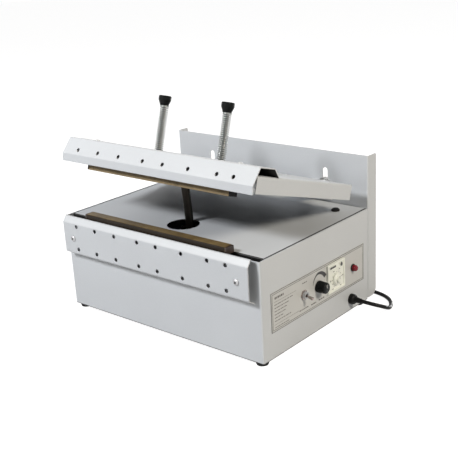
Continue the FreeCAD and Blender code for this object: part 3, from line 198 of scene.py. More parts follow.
# Timer's face: rings of ticks about the dial, then marks from its lower front corner, and the rim's profile
TIMER_PRINT_LOW = -0.05 * MM
TIMER_PRINT_THICK = 0.13 * MM
TIMER_SWEEP = 280
Ring = namedtuple("Ring", "inner outer count width")
TIMER_RINGS = (
    Ring(inner=12 * MM, outer=13.6 * MM, count=11, width=0.8 * MM),
    Ring(inner=16.8 * MM, outer=18.4 * MM, count=6, width=2.2 * MM),
)
TIMER_BAR_LOW = (6 * MM, 40.5 * MM)
TIMER_BAR_HIGH = (22 * MM, 43.5 * MM)
TIMER_WINDOW = (38.5 * MM, 40.5 * MM)
TIMER_WINDOW_HALF = (2.4 * MM, 3.4 * MM)
TIMER_RIM = ((0, 10.4 * MM), (0.5 * MM, 10.4 * MM), (0.7 * MM, 10.1 * MM))
TIMER_RIM_STEPS = 72

# Cross recesses of the cover's screws: reach as a share of the head, arm's half width as a share of the reach
RECESS_REACH = 0.5
RECESS_ARM = 0.28
RECESS_LOW = -0.3 * MM
RECESS_THICK = 0.34 * MM

# Stage: the floor's size in metres, its grey and the glow that the camera sees, and the room's light
FLOOR_SIZE = 14
FLOOR_GREY = 0.34
FLOOR_GLOW = 0.92
ROOM_COLOUR = (0.97, 0.98, 1.0)
ROOM_LIGHT = 0.04
WHITE = (1, 1, 1)


# Shader helpers


def feed(tree, socket, value):
    """Link a socket to an input, or set the input to a value."""
    if isinstance(value, bpy.types.NodeSocket):
        tree.links.new(value, socket)
    else:
        socket.default_value = value


def set_inputs(tree, node, **inputs):
    """Feed a node's inputs by their names, with _ for a space."""
    for key, value in inputs.items():
        feed(tree, node.inputs[key.replace("_", " ")], value)


def add(tree, kind, settings=None, **inputs):
    made = tree.nodes.new("ShaderNode" + kind)
    for key, value in (settings or {}).items():
        setattr(made, key, value)
    set_inputs(tree, made, **inputs)
    return made


def calculate(tree, operation, first, second=0):
    made = add(tree, "Math", {"operation": operation})
    feed(tree, made.inputs[0], first)
    feed(tree, made.inputs[1], second)
    return made.outputs["Value"]


def calculate_vector(tree, operation, first, second):
    made = add(tree, "VectorMath", {"operation": operation})
    feed(tree, made.inputs[0], first)
    feed(tree, made.inputs[1], second)
    return made.outputs


def start_material(name):
    material = bpy.data.materials.new(name)
    material.use_nodes = True
    tree = material.node_tree
    shader = tree.nodes["Principled BSDF"]
    place = add(tree, "TexCoord").outputs["Object"]
    return material, tree, shader, place


def rgb(colour, share=1.0):
    return (colour[0] * share, colour[1] * share, colour[2] * share, 1.0)


def noise(tree, place, **inputs):
    return add(tree, "TexNoise", Vector=place, **inputs).outputs["Fac"]


def tint(tree, factor, dark, light, start=0.3, end=0.7):
    """From dark to light as the factor goes from start to end."""
    ramp = add(tree, "ValToRGB", Fac=factor)
    ramp.color_ramp.elements[0].color = dark
    ramp.color_ramp.elements[0].position = start
    ramp.color_ramp.elements[1].color = light
    ramp.color_ramp.elements[1].position = end
    return ramp.outputs["Color"]


def mottled(tree, factor, colour, spread):
    """A colour that is darker and lighter by a share of itself."""
    return tint(tree, factor, rgb(colour, 1 - spread), rgb(colour, 1 + spread))


def span(tree, factor, low, high):
    return add(tree, "MapRange", Value=factor, To_Min=low, To_Max=high).outputs["Result"]


def varied(tree, factor, value, spread):
    """A value that is lower and higher by a share of itself."""
    return span(tree, factor, value * (1 - spread), value * (1 + spread))


def mix(tree, factor, first, second, blend="MIX"):
    mixed = add(tree, "MixRGB", {"blend_type": blend}, Fac=factor, Color1=first, Color2=second)
    return mixed.outputs["Color"]


def relief(tree, shader, height, depth, edge):
    """Bump the surface by a height and round its edges off."""
    rounded = add(tree, "Bevel", {"samples": 4}, Radius=edge).outputs["Normal"]
    bump = add(tree, "Bump", Strength=1.0, Distance=depth, Height=height, Normal=rounded)
    set_inputs(tree, shader, Normal=bump.outputs["Normal"])


# Masks for parts of a node


def facing(tree, direction, limit):
    """1 on faces that look along a direction by more than the limit."""
    normal = add(tree, "TexCoord").outputs["Normal"]
    share = calculate_vector(tree, "DOT_PRODUCT", normal, direction)["Value"]
    return calculate(tree, "GREATER_THAN", share, limit)


# Faces that look down, which get painted shade.
def turned_down(tree):
    return facing(tree, DOWN, limit=0.6)


# Faces of the hat's inside, which get painted shade.
def inside_of_hat(tree):
    return facing(tree, DOWN, limit=0.05)


def folded_edges(tree):
    """1 on the top plate's folds beside the front slot and the right wall, which get painted shade so that
    the gaps there look black.
    """
    return facing(tree, FRONT_RIGHT, limit=0.1)


def hole_walls(tree, limit=0.3):
    """1 on the walls of the lower cover's holes, which get painted shade: faces across its front, away from
    its ends.
    """
    normal = add(tree, "SeparateXYZ", Vector=add(tree, "TexCoord").outputs["Normal"]).outputs
    place = add(tree, "SeparateXYZ", Vector=add(tree, "TexCoord").outputs["Object"]).outputs
    across = calculate(tree, "LESS_THAN", calculate(tree, "ABSOLUTE", normal["Y"]), limit)
    inner = calculate(tree, "LESS_THAN", calculate(tree, "ABSOLUTE", place["X"]), JAW_HOLES_REACH)
    return calculate(tree, "MULTIPLY", across, inner)


def shaded_shell_edges(tree):
    """1 where the housing gets painted shade: its undersides, a band along its lower edge and the front
    wall's upper edge.
    """
    low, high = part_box("housing_shell")
    place = add(tree, "SeparateXYZ", Vector=add(tree, "TexCoord").outputs["Object"]).outputs
    lower = calculate(tree, "LESS_THAN", place["Z"], low[2] + SHADE_LINE_WIDTH)
    front = calculate(tree, "LESS_THAN", place["Y"], low[1] + 2 * SHADE_LINE_WIDTH)
    upper = calculate(tree, "MULTIPLY", front, facing(tree, UP, limit=0.6))
    return calculate(tree, "MAXIMUM", calculate(tree, "MAXIMUM", lower, upper), turned_down(tree))


# Materials


def surface(name, colour, roughness, metallic=0.0, gloss=0.5, mottle=25.0, spread=0.04, grain=1500.0,
            depth=0.02 * MM, edge=0.4 * MM):
    """A material with slow colour changes, a fine grain in its relief and softened edges."""
    material, tree, shader, place = start_material(name)
    slow = noise(tree, place, Scale=mottle, Detail=5.0)
    fine = noise(tree, place, Scale=grain, Detail=3.0)
    set_inputs(
        tree, shader,
        Base_Color=mottled(tree, slow, colour, spread),
        Roughness=varied(tree, fine, roughness, spread=0.15),
        Metallic=metallic,
        Specular_IOR_Level=gloss,
    )
    relief(tree, shader, fine, depth, edge)
    return material


def brushed(name, colour, roughness, along, length=25.0, width=2500.0):
    """Metal with fine brush marks along one axis; length and width are the marks' scales."""
    material, tree, shader, place = start_material(name)
    stretch = [width] * 3
    stretch[along] = length
    scaled = calculate_vector(tree, "MULTIPLY", place, stretch)["Vector"]
    marks = noise(tree, scaled, Scale=1.0, Detail=3.0)
    set_inputs(
        tree, shader,
        Base_Color=tint(tree, marks, dark=rgb(colour, 0.85), light=rgb(colour, 1.1)),
        Roughness=varied(tree, marks, roughness, spread=0.3),
        Metallic=1.0,
    )
    relief(tree, shader, marks, depth=0.006 * MM, edge=0.3 * MM)
    return material


def powder_coat(name, painted_shade_mask, painted_shade_colour, edge=0.7 * MM):
    """Light grey powder coat: orange peel, faint speckle and slow changes of gloss. Faces that the mask picks
    out get painted shade instead of paint: a dark colour that stands in for the shade under, in and between
    parts."""
    material, tree, shader, place = start_material(name)
    slow = noise(tree, place, Scale=9.0, Detail=6.0)
    peel = noise(tree, place, Scale=700.0, Detail=2.0)
    speck = add(tree, "TexVoronoi", Vector=place, Scale=1100.0).outputs["Distance"]
    paint = tint(tree, slow, rgb(PAINT_DARK), rgb(PAINT_LIGHT))
    flecked = mix(tree, factor=0.05, first=paint, second=speck, blend="MULTIPLY")
    painted_shade = mottled(tree, slow, painted_shade_colour, spread=0.15)
    set_inputs(
        tree, shader,
        Base_Color=mix(tree, painted_shade_mask(tree), flecked, painted_shade),
        Roughness=span(tree, slow, low=0.36, high=0.46),
    )
    relief(tree, shader, peel, depth=0.03 * MM, edge=edge)
    return material


def release_cloth(name, dark, light, front):
    """Brown glass cloth: an over-and-under weave under a coat, patchy from heat. Its front side takes the
    front colour instead, which is painted shade on the lower cloth and painted light on the upper cloth."""
    material, tree, shader, place = start_material(name)
    over = rgb(WHITE)
    under = rgb(WHITE, share=0.25)
    weave = add(tree, "TexChecker", Vector=place, Scale=1600.0, Color1=over, Color2=under).outputs
    heat = noise(tree, place, Scale=38.0, Detail=6.0, Roughness=0.65)
    upper = tint(tree, heat, rgb(dark), rgb(light))
    front_painted_shading = mottled(tree, heat, front, spread=0.3)
    coat = mix(tree, facing(tree, FRONT, limit=0.5), upper, front_painted_shading)
    set_inputs(
        tree, shader,
        Base_Color=mix(tree, factor=0.3, first=coat, second=weave["Color"], blend="MULTIPLY"),
        Specular_IOR_Level=0.15,
        Roughness=span(tree, heat, low=0.28, high=0.5),
    )
    relief(tree, shader, weave["Fac"], depth=0.04 * MM, edge=0.4 * MM)
    return material


def ridged(name, dark, light, pitch, axis, metallic=1.0, roughness=0.34, gloss=0.5):
    """Even ridges across an axis, such as a thread's turns, stacked sheets or wound wire.
    The colour runs from dark in the grooves to light on the crests: painted shade in the grooves.
    """
    material, tree, shader, place = start_material(name)
    along = calculate_vector(tree, "DOT_PRODUCT", place, axis)["Value"]
    height = calculate(tree, "PINGPONG", calculate(tree, "DIVIDE", along, pitch), 0.5)
    set_inputs(
        tree, shader,
        Base_Color=tint(tree, height, rgb(dark), rgb(light)),
        Metallic=metallic,
        Roughness=roughness,
        Specular_IOR_Level=gloss,
    )
    relief(tree, shader, height, depth=0.6 * pitch, edge=0.2 * MM)
    return material


def thread(name, colour, pitch, axis):
    """Plated thread whose grooves get painted shade, a darker copy of its colour."""
    return ridged(name, dark=rgb(colour, 0.45), light=colour, pitch=pitch, axis=axis)


def plug_moulding():
    """Black moulded plug whose two pins, at its low X end, are plated metal."""
    material, tree, shader, place = start_material("plug_moulding")
    fine = noise(tree, place, Scale=2200.0, Detail=3.0)
    along = add(tree, "SeparateXYZ", Vector=place).outputs["X"]
    pins = calculate(tree, "LESS_THAN", along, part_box("power_plug")[0][0] + PLUG_PIN_LENGTH)
    black = tint(tree, fine, rgb((0.01, 0.01, 0.011)), rgb((0.014, 0.014, 0.015)))
    set_inputs(
        tree, shader,
        Base_Color=mix(tree, pins, black, rgb((0.66, 0.62, 0.54))),
        Metallic=pins,
        Roughness=span(tree, pins, low=0.5, high=0.28),
    )
    relief(tree, shader, fine, depth=0.02 * MM, edge=0.5 * MM)
    return material


MATERIALS = {
    # The grey parts get painted shade on their downward faces, the lid's underside among them.
    "grey_paint": powder_coat("grey_powder_coat", turned_down, painted_shade_colour=(0.03, 0.032, 0.034)),
    "panel_print": surface(
        "panel_foil", (0.53, 0.535, 0.53), roughness=0.42,
        mottle=14.0, spread=0.025, grain=2600.0, depth=0.006 * MM,
    ),
    "zinc": surface(
        "bright_zinc", (0.66, 0.66, 0.65), roughness=0.3, metallic=1.0,
        mottle=160.0, spread=0.12, grain=900.0, depth=0.008 * MM,
    ),
    "dark_steel": brushed("oiled_steel", (0.026, 0.023, 0.02), roughness=0.4, along=2),
    "spring_steel": surface(
        "spring_wire", (0.36, 0.37, 0.36), roughness=0.3, metallic=1.0,
        mottle=300.0, spread=0.1, grain=1200.0,
    ),
    "aluminium": brushed("milled_aluminium", (0.7, 0.7, 0.71), roughness=0.36, along=0),
    "nichrome": brushed("resistance_strip", (0.32, 0.3, 0.28), roughness=0.45, along=0),
    # The lower cloth's near-black front is painted shade.
    "seal_cloth": release_cloth(
        "lower_cloth", dark=(0.09, 0.06, 0.024), light=(0.19, 0.138, 0.065), front=(0.016, 0.01, 0.005),
    ),
    "black_plastic": surface(
        "black_plastic", (0.006, 0.006, 0.006), roughness=0.5, gloss=0.12,
        spread=0.15, grain=2200.0, depth=0.03 * MM,
    ),
    "black_knob": surface(
        "black_knob", (0.004, 0.005, 0.005), roughness=0.25, gloss=0.12,
        spread=0.2, grain=1800.0, depth=0.006 * MM, edge=0.8 * MM,
    ),
    "black_rubber": surface(
        "black_rubber", (0.009, 0.009, 0.009), roughness=0.78, gloss=0.2,
        spread=0.2, grain=1500.0, depth=0.06 * MM,
    ),
    "cord_black": surface(
        "cord_sheath", (0.006, 0.006, 0.006), roughness=0.5, gloss=0.12,
        spread=0.2, grain=1400.0, depth=0.03 * MM,
    ),
    "cream_plastic": surface(
        "cream_plastic", (0.84, 0.86, 0.8), roughness=0.34,
        spread=0.03, grain=2000.0, depth=0.01 * MM,
    ),
    "red_lens": ridged(
        "lamp_glass", (0.2, 0.002, 0.012), (0.3, 0.004, 0.02), pitch=1.1 * MM, axis=(0, 0.7, 0.7),
        metallic=0.0, roughness=0.25, gloss=0.3,
    ),
    "copper": ridged(
        "copper_winding", (0.2, 0.07, 0.025), (0.55, 0.24, 0.1), pitch=0.9 * MM, axis=UP,
        metallic=0.9, roughness=0.35,
    ),
    "core_steel": ridged(
        "core_sheets", (0.05, 0.05, 0.055), (0.19, 0.19, 0.2), pitch=0.8 * MM, axis=(0, 1, 0),
        metallic=0.7, roughness=0.5,
    ),
}
BUSHING_THREAD = thread("bushing_thread", (0.66, 0.66, 0.65), pitch=0.75 * MM, axis=RIGHT)
INK = surface(
    "panel_ink", (0.022, 0.022, 0.024), roughness=0.5,
    mottle=120.0, spread=0.25, grain=2600.0, depth=0.004 * MM,
)
GREY_INK = surface(
    "grey_ink", (0.1, 0.095, 0.09), roughness=0.5,
    mottle=160.0, spread=0.3, grain=2600.0, depth=0.004 * MM,
)
PALE_INK = surface(
    "pale_ink", (0.62, 0.62, 0.6), roughness=0.5,
    mottle=120.0, spread=0.05, grain=2600.0, depth=0.004 * MM,
)
RECESS_DARK = surface(
    "screw_recess", (0.05, 0.05, 0.05), roughness=0.6, metallic=0.6,
    mottle=200.0, spread=0.2,
)
NICKEL = surface(
    "warm_nickel", (0.36, 0.31, 0.29), roughness=0.24, metallic=1.0,
    mottle=180.0, spread=0.15, grain=900.0, depth=0.008 * MM,
)

# Nodes whose look differs from the rest of their slot
NODE_MATERIALS = {
    # The top plate's folds by the front slot and the right wall get painted shade.
    "top_plate": powder_coat("top_plate_coat", folded_edges, painted_shade_colour=(0.006, 0.006, 0.006)),
    # The housing gets painted shade: a dark line along its foot and a dark front top edge inside the slot.
    "housing_shell": powder_coat("housing_coat", shaded_shell_edges, painted_shade_colour=(0.02, 0.02, 0.02)),
    # The walls of the lower cover's holes get painted shade.
    "lower_jaw_cover": powder_coat(
        "jaw_cover_coat", hole_walls, painted_shade_colour=(0.012, 0.012, 0.013), edge=3 * MM,
    ),
    # The inside of the hat gets painted shade.
    "upper_jaw_cover": powder_coat("hat_coat", inside_of_hat, painted_shade_colour=(0.012, 0.012, 0.013)),
    "hinge_brackets": MATERIALS["zinc"],
    "panel_nuts": NICKEL,
    "toggle_lever": NICKEL,
    "cover_screws": surface(
        "dull_zinc", (0.4, 0.4, 0.41), roughness=0.55, metallic=1.0,
        mottle=160.0, spread=0.12, grain=900.0, depth=0.008 * MM,
    ),
    # The upper cloth's lighter tan front is painted light.
    "upper_seal_cloth": release_cloth(
        "upper_cloth", dark=(0.1, 0.07, 0.035), light=(0.2, 0.15, 0.08), front=(0.24, 0.18, 0.1),
    ),
    "element_terminals": surface(
        "brown_phenolic", (0.03, 0.018, 0.013), roughness=0.4,
        mottle=90.0, spread=0.3, grain=1600.0,
    ),
    "spring_posts": thread("post_thread", (0.1, 0.1, 0.1), pitch=1.25 * MM, axis=LID_UP),
    "toggle_switch": BUSHING_THREAD,
    "heat_potentiometer": BUSHING_THREAD,
    "power_plug": plug_moulding(),
}


def dress_nodes():
    """Give each CAD node its own detailed material or that of its slot."""
    for part in frame["record"]["subparts"]:
        node = frame["nodes"][part["node"]]
        material = NODE_MATERIALS.get(part["node"], MATERIALS[part["material_slot"]])
        node.data.materials.clear()
        node.data.materials.append(material)


# Mesh helpers


def piece(name, mesh, material, body, smooth=True):
    mesh.materials.append(material)
    if smooth:
        mesh.polygons.foreach_set("use_smooth", [True] * len(mesh.polygons))
    made = bpy.data.objects.new(name, mesh)
    bpy.context.collection.objects.link(made)
    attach(made, body)
    return made


def mesh_from(name, vertices, faces):
    mesh = bpy.data.meshes.new(name)
    mesh.from_pydata(vertices, [], faces)
    mesh.validate()
    mesh.update()
    return mesh


def middle(node):
    low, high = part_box(node)
    return (Vector(low) + Vector(high)) / 2


def frame_along(direction):
    """Two unit vectors across a direction."""
    side = direction.orthogonal().normalized()
    return side, direction.cross(side).normalized()


def spoke(side, other, radius, angle):
    return radius * (math.cos(angle) * side + math.sin(angle) * other)


def full_turn(steps):
    return [2 * math.pi * k / steps for k in range(steps)]


def tube_faces(rings, sides):
    """Faces along rings of vertices, with a cap on each end."""
    faces = []
    for ring in range(rings - 1):
        near = ring * sides
        far = near + sides
        for k in range(sides):
            after = (k + 1) % sides
            faces.append((near + k, near + after, far + after, far + k))
    faces.append(tuple(reversed(range(sides))))
    faces.append(tuple((rings - 1) * sides + k for k in range(sides)))
    return faces


def sweep(points, radius, sides=10):
    """A round wire through points, closed at both ends."""
    vertices = []
    last = len(points) - 1
    across = None
    for index, point in enumerate(points):
        ahead = (points[min(index + 1, last)] - points[max(index - 1, 0)]).normalized()
        if across is None:
            across = frame_along(ahead)[0]
        across = (across - ahead * across.dot(ahead)).normalized()
        other = ahead.cross(across)
        vertices += [point + spoke(across, other, radius, angle) for angle in full_turn(sides)]
    return vertices, tube_faces(len(points), sides)


def lathe(profile, origin, axis, steps, wobble=None):
    """Turn (reach, radius) pairs about an axis. wobble(angle, reach) scales the radius, for flutes."""
    axis = Vector(axis)
    side, other = frame_along(axis)
    vertices = []
    for reach, radius in profile:
        for angle in full_turn(steps):
            scale = wobble(angle, reach) if wobble else 1.0
            vertices.append(Vector(origin) + axis * reach + spoke(side, other, radius * scale, angle))
    return vertices, tube_faces(len(profile), steps)


def slab(outline, low, thick, to_space):
    """A thin closed slab with the given outline; to_space turns (u, v, height) into the object's frame."""
    count = len(outline)
    vertices = [to_space(u, v, height) for height in (low, low + thick) for u, v in outline]
    faces = [tuple(reversed(range(count))), tuple(range(count, 2 * count))]
    faces += [(k, (k + 1) % count, count + (k + 1) % count, count + k) for k in range(count)]
    return vertices, faces


def joined(parts):
    """One list of vertices and one of faces from several."""
    vertices = []
    faces = []
    for some_vertices, some_faces in parts:
        start = len(vertices)
        vertices += some_vertices
        faces += [tuple(start + index for index in face) for face in some_faces]
    return vertices, faces


# Pressure springs


def spring_points(base, length):
    """A helix with its end turns closed up."""
    side, other = frame_along(LID_UP)
    closed = SPRING_CLOSED_TURNS * SPRING_CLOSED_PITCH
    open_pitch = (length - 2 * closed) / (SPRING_TURNS - 2 * SPRING_CLOSED_TURNS)
    points = []
    for index in range(SPRING_TURNS * SPRING_TURN_POINTS + 1):
        turn = index / SPRING_TURN_POINTS
        left = SPRING_TURNS - turn
        if turn < SPRING_CLOSED_TURNS:
            height = turn * SPRING_CLOSED_PITCH
        elif left < SPRING_CLOSED_TURNS:
            height = length - left * SPRING_CLOSED_PITCH
        else:
            height = closed + (turn - SPRING_CLOSED_TURNS) * open_pitch
        out = spoke(side, other, SPRING_MID_RADIUS, 2 * math.pi * turn)
        points.append(base + LID_UP * height + out)
    return points


def make_springs():
    """A coil spring on each post, from its washer up to its knob."""
    washer_top = middle("spring_washers") + LID_UP * SPRING_WASHER_HALF
    for side in ("left", "right"):
        knob_low = middle("pressure_knob_" + side) - LID_UP * PRESSURE_KNOB_HALF
        top = knob_low - LID_UP * (SPRING_WIRE_RADIUS + SPRING_PLAY)
        length = (top - washer_top).dot(LID_UP) - SPRING_WIRE_RADIUS
        base = top - LID_UP * length
        mesh = mesh_from("pressure_spring", *sweep(spring_points(base, length), SPRING_WIRE_RADIUS))
        made = piece("coil_spring_" + side, mesh, MATERIALS["spring_steel"], "lid")
        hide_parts("pressure_spring_" + side)
        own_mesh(made)


# Prints on the control plate


def wall_point(y, z, out):
    """A point on the control plate's face."""
    return Vector((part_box("control_plate")[1][0] + out, y, z))


def rule(y_low, z_low, y_high, z_high):
    """Outline of an upright rectangle on the wall."""
    return [(y_low, z_low), (y_high, z_low), (y_high, z_high), (y_low, z_high)]


def print_marks(name, outlines, material, low, thick, to_space):
    """Ink as thin slabs on a face of the housing."""
    parts = [slab(outline, low, thick, to_space) for outline in outlines]
    piece(name, mesh_from(name, *joined(parts)), material, "housing", smooth=False)


def print_on_plate(name, outlines, material):
    print_marks(name, outlines, material, PRINT_LOW, PRINT_THICK, wall_point)


def border_lines(inset, width):
    low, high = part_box("control_plate")
    y_low = low[1] + inset
    z_low = low[2] + inset
    y_high = high[1] - inset
    z_high = high[2] - inset
    return [
        rule(y_low, z_low, y_high, z_low + width),
        rule(y_low, z_high - width, y_high, z_high),
        rule(y_low, z_low, y_low + width, z_high),
        rule(y_high - width, z_low, y_high, z_high),
    ]


def along_three(stops, share):
    """Straight steps through three evenly spaced stops."""
    first, second, third = stops
    if share < 0.5:
        return first + (second - first) * 2 * share
    return second + (third - second) * (2 * share - 1)


def crescent(centre):
    """Outline of a scale that swells along its arc."""
    inner_edge = []
    outer_edge = []
    for k in range(SCALE_STEPS + 1):
        share = k / SCALE_STEPS
        angle = math.radians(SCALE_START + (SCALE_END - SCALE_START) * share)
        for edge, stops in ((inner_edge, SCALE_INNER), (outer_edge, SCALE_OUTER)):
            radius = along_three(stops, share)
            edge.append((centre.y - radius * math.cos(angle), centre.z + radius * math.sin(angle)))
    return inner_edge + outer_edge[::-1]


def dashes(start, z, thick, lengths, gap):
    """Outlines of a line of dashes; the lengths and the gap are in millimetres."""
    marks = []
    y = start
    for length in lengths:
        marks.append(rule(y, z, y + length * MM, z + thick))
        y += (length + gap) * MM
    return marks


def make_label():
    """The label in front of the controls: a heading, rows between two rules, and a row at its foot."""
    low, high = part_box("control_plate")
    left = low[1] + LABEL_INDENT
    heading_z = high[2] - HEADING_DROP
    heading = dashes(left + HEADING_INDENT, heading_z, HEADING_THICK, HEADING_DASHES, HEADING_GAP)
    print_on_plate("label_heading", heading, GREY_INK)
    upper_z = high[2] - UPPER_RULE_DROP
    lower_z = low[2] + LOWER_RULE_RISE
    rows = [
        rule(left, upper_z, left + UPPER_RULE_LENGTH, upper_z + LABEL_RULE_THICK),
        rule(left, lower_z, left + LOWER_RULE_LENGTH, lower_z + LABEL_RULE_THICK),
    ]
    for row, lengths in enumerate(LABEL_ROWS):
        row_z = high[2] - (ROW_DROP + ROW_STEP * row)
        rows += dashes(left + ROW_INDENT, row_z, ROW_THICK, lengths, ROW_GAP)
    rows += dashes(left + ROW_INDENT, low[2] + FOOT_ROW_RISE, ROW_THICK, FOOT_ROW, ROW_GAP)
    print_on_plate("label_rows", rows, GREY_INK)


def make_control_marks():
    low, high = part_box("control_plate")
    places = [(mark, high[2] - mark.edge * MM) for mark in MARKS_AT_TOP]
    places += [(mark, low[2] + mark.edge * MM) for mark in MARKS_AT_FOOT]
    outlines = []
    for mark, z in places:
        start = middle(mark.control).y + mark.start * MM
        outlines += dashes(start, z, mark.thick * MM, mark.dashes, mark.gap)
    print_on_plate("control_marks", outlines, GREY_INK)


def make_panel_prints():
    lines = [line for inset, width in BORDER_LINES for line in border_lines(inset, width)]
    print_on_plate("panel_border", lines, INK)
    print_on_plate("heat_scale", [crescent(middle("heat_knob"))], INK)
    make_label()
    make_control_marks()


# Heat knob and timer


def make_pointer(name, node, outline, material, body):
    """A thin mark on the middle of a turned node's outer face."""
    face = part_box(node)[1][0]
    centre = middle(node)

    def to_space(u, v, out):
        return Vector((face + out, centre.y + u, centre.z + v))

    mark = slab(outline, POINTER_LOW, POINTER_THICK, to_space)
    piece(name, mesh_from(name, *mark), material, body, smooth=False)


def make_heat_knob():
    low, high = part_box("heat_knob")
    centre = middle("heat_knob")
    length = high[0] - low[0]
    radius = (high[1] - low[1]) / 2

    def flutes(angle, reach):
        grip = KNOB_GRIP[0] < reach / length < KNOB_GRIP[1]
        return 1 - KNOB_FLUTE_DEPTH * (0.5 + 0.5 * math.cos(KNOB_FLUTES * angle)) * grip

    profile = [(0, radius * KNOB_EDGE_RADIUS), (KNOB_EDGE, radius)]
    profile += [(length * reach, radius * share) for reach, share in KNOB_PROFILE]
    origin = Vector((low[0], centre.y, centre.z))
    mesh = mesh_from("fluted_knob", *lathe(profile, origin, RIGHT, KNOB_STEPS, flutes))
    knob = piece("fluted_heat_knob", mesh, MATERIALS["black_knob"], "heat")
    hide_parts("heat_knob")
    line = rule(-HEAT_POINTER_HALF, HEAT_POINTER_START, HEAT_POINTER_HALF, HEAT_POINTER_END_SHARE * radius)
    make_pointer("heat_pointer", "heat_knob", line, PALE_INK, "heat")


def timer_face(u, v, out):
    """A point on the timer's face from its lower front corner."""
    low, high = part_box("timer_module")
    return Vector((high[0] + out, low[1] + u, low[2] + v))


def ring_of_ticks(centre, ring):
    ticks = []
    for k in range(ring.count):
        angle = math.radians(90 + TIMER_SWEEP * (k / (ring.count - 1) - 0.5))
        away = Vector((math.cos(angle), math.sin(angle)))
        across = Vector((-away.y, away.x)) * ring.width / 2
        near = centre + away * ring.inner
        far = centre + away * ring.outer
        ticks.append([tuple(corner) for corner in (far - across, far + across, near + across, near - across)])
    return ticks


def oval(centre, half, steps=20):
    return [
        (centre[0] + half[0] * math.cos(angle), centre[1] + half[1] * math.sin(angle))
        for angle in full_turn(steps)
    ]


def print_on_timer(name, outlines, material):
    print_marks(name, outlines, material, TIMER_PRINT_LOW, TIMER_PRINT_THICK, timer_face)


def make_timer_details():
    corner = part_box("timer_module")[0]
    dial = middle("timer_dial")
    centre = Vector((dial.y - corner[1], dial.z - corner[2]))
    ticks = [tick for ring in TIMER_RINGS for tick in ring_of_ticks(centre, ring)]
    print_on_timer("timer_ticks", ticks, GREY_INK)
    bar = rule(*TIMER_BAR_LOW, *TIMER_BAR_HIGH)
    print_on_timer("timer_marks", [bar, oval(TIMER_WINDOW, TIMER_WINDOW_HALF)], INK)
    rim = lathe(TIMER_RIM, timer_face(*centre, 0), RIGHT, TIMER_RIM_STEPS)
    piece("timer_rim", mesh_from("timer_rim", *rim), MATERIALS["cream_plastic"], "housing")
    line = rule(-TIMER_POINTER_HALF, TIMER_POINTER_START, TIMER_POINTER_HALF, TIMER_POINTER_END)
    make_pointer("timer_pointer", "timer_dial", line, GREY_INK, "timer")


# Screws of the lower cover


def cross_recess(name, centre, out, reach, body):
    """Cross recess of a screw: two dark bars in its head, painted shade that stands in for the hollow of the
    recess.
    """
    side, other = frame_along(out)
    half = RECESS_ARM * reach
    arms = []
    for along, across in ((side, other), (other, side)):

        def to_space(u, v, height, along=along, across=across):
            return centre + along * u + across * v + out * height

        arms.append(slab(rule(-reach, -half, reach, half), RECESS_LOW, RECESS_THICK, to_space))
    piece(name, mesh_from(name, *joined(arms)), RECESS_DARK, body, smooth=False)


def make_screw_details():
    low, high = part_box("cover_screws")
    head = (high[2] - low[2]) / 2
    for side, x in (("left", low[0] + head), ("right", high[0] - head)):
        centre = Vector((x, low[1], (low[2] + high[2]) / 2))
        cross_recess("cover_screw_recess_" + side, centre, Vector(FRONT), RECESS_REACH * head, "housing")


# Power cord


def coil_points():
    """The turns: inward on the table, up, and outward again on top."""
    points = []
    total = COIL_TURNS * COIL_TURN_POINTS
    for index in range(1, total + 1):
        share = index / total
        inward = 1 - abs(2 * share - 1)
        radius = COIL_OUTER - (COIL_OUTER - COIL_INNER) * inward
        climb = min(max((share - COIL_CLIMB_START) / COIL_CLIMB_SHARE, 0), 1)
        height = COIL_LOW + (COIL_HIGH - COIL_LOW) * climb
        angle = -math.pi / 2 - 2 * math.pi * COIL_TURNS * share
        x = COIL_CENTRE[0] + radius * math.cos(angle)
        y = COIL_CENTRE[1] + radius * math.sin(angle)
        points.append((x, y, height))
    return points


def smooth_curve(name, points, diameter):
    """A round curve that runs smoothly along points."""
    curve = bpy.data.curves.new(name, "CURVE")
    curve.dimensions = "3D"
    curve.bevel_depth = diameter / 2
    curve.bevel_resolution = 5
    curve.use_fill_caps = True
    spline = curve.splines.new("NURBS")
    spline.points.add(len(points) - 1)
    for point, place in zip(spline.points, points):
        point.co = (*place, 1.0)
    spline.order_u = 3
    spline.use_endpoint_u = True
    spline.resolution_u = 8
    return curve


def make_cord():
    plug_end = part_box("power_plug")[1][0]
    end = (plug_end - CORD_IN_PLUG, COIL_CENTRE[1] - COIL_OUTER, COIL_HIGH)
    points = list(CORD_ROUTE) + coil_points() + [end]
    curve = smooth_curve("power_cord_line", points, CORD_DIAMETER)
    curve.materials.append(MATERIALS["cord_black"])
    cord = bpy.data.objects.new("mains_lead", curve)
    bpy.context.collection.objects.link(cord)
    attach(cord, "housing")
    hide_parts("power_cord", "cord_coil")
    straight = sum((Vector(b) - Vector(a)).length for a, b in zip(points, points[1:]))


# Stage, lights and camera


def seen_directly(tree):
    """1 for what the camera sees itself, in a reflection or through glass."""
    path = add(tree, "LightPath").outputs
    seen = path["Is Camera Ray"]
    for ray in ("Is Glossy Ray", "Is Transmission Ray"):
        seen = calculate(tree, "MAXIMUM", seen, path[ray])
    return seen


def choose_by_ray(tree, lighting, seen, output):
    """One shader lights the object, and the other is what is seen."""
    choice = add(tree, "MixShader", Fac=seen_directly(tree))
    tree.links.new(lighting, choice.inputs[1])
    tree.links.new(seen, choice.inputs[2])
    tree.links.new(choice.outputs["Shader"], tree.nodes[output].inputs["Surface"])


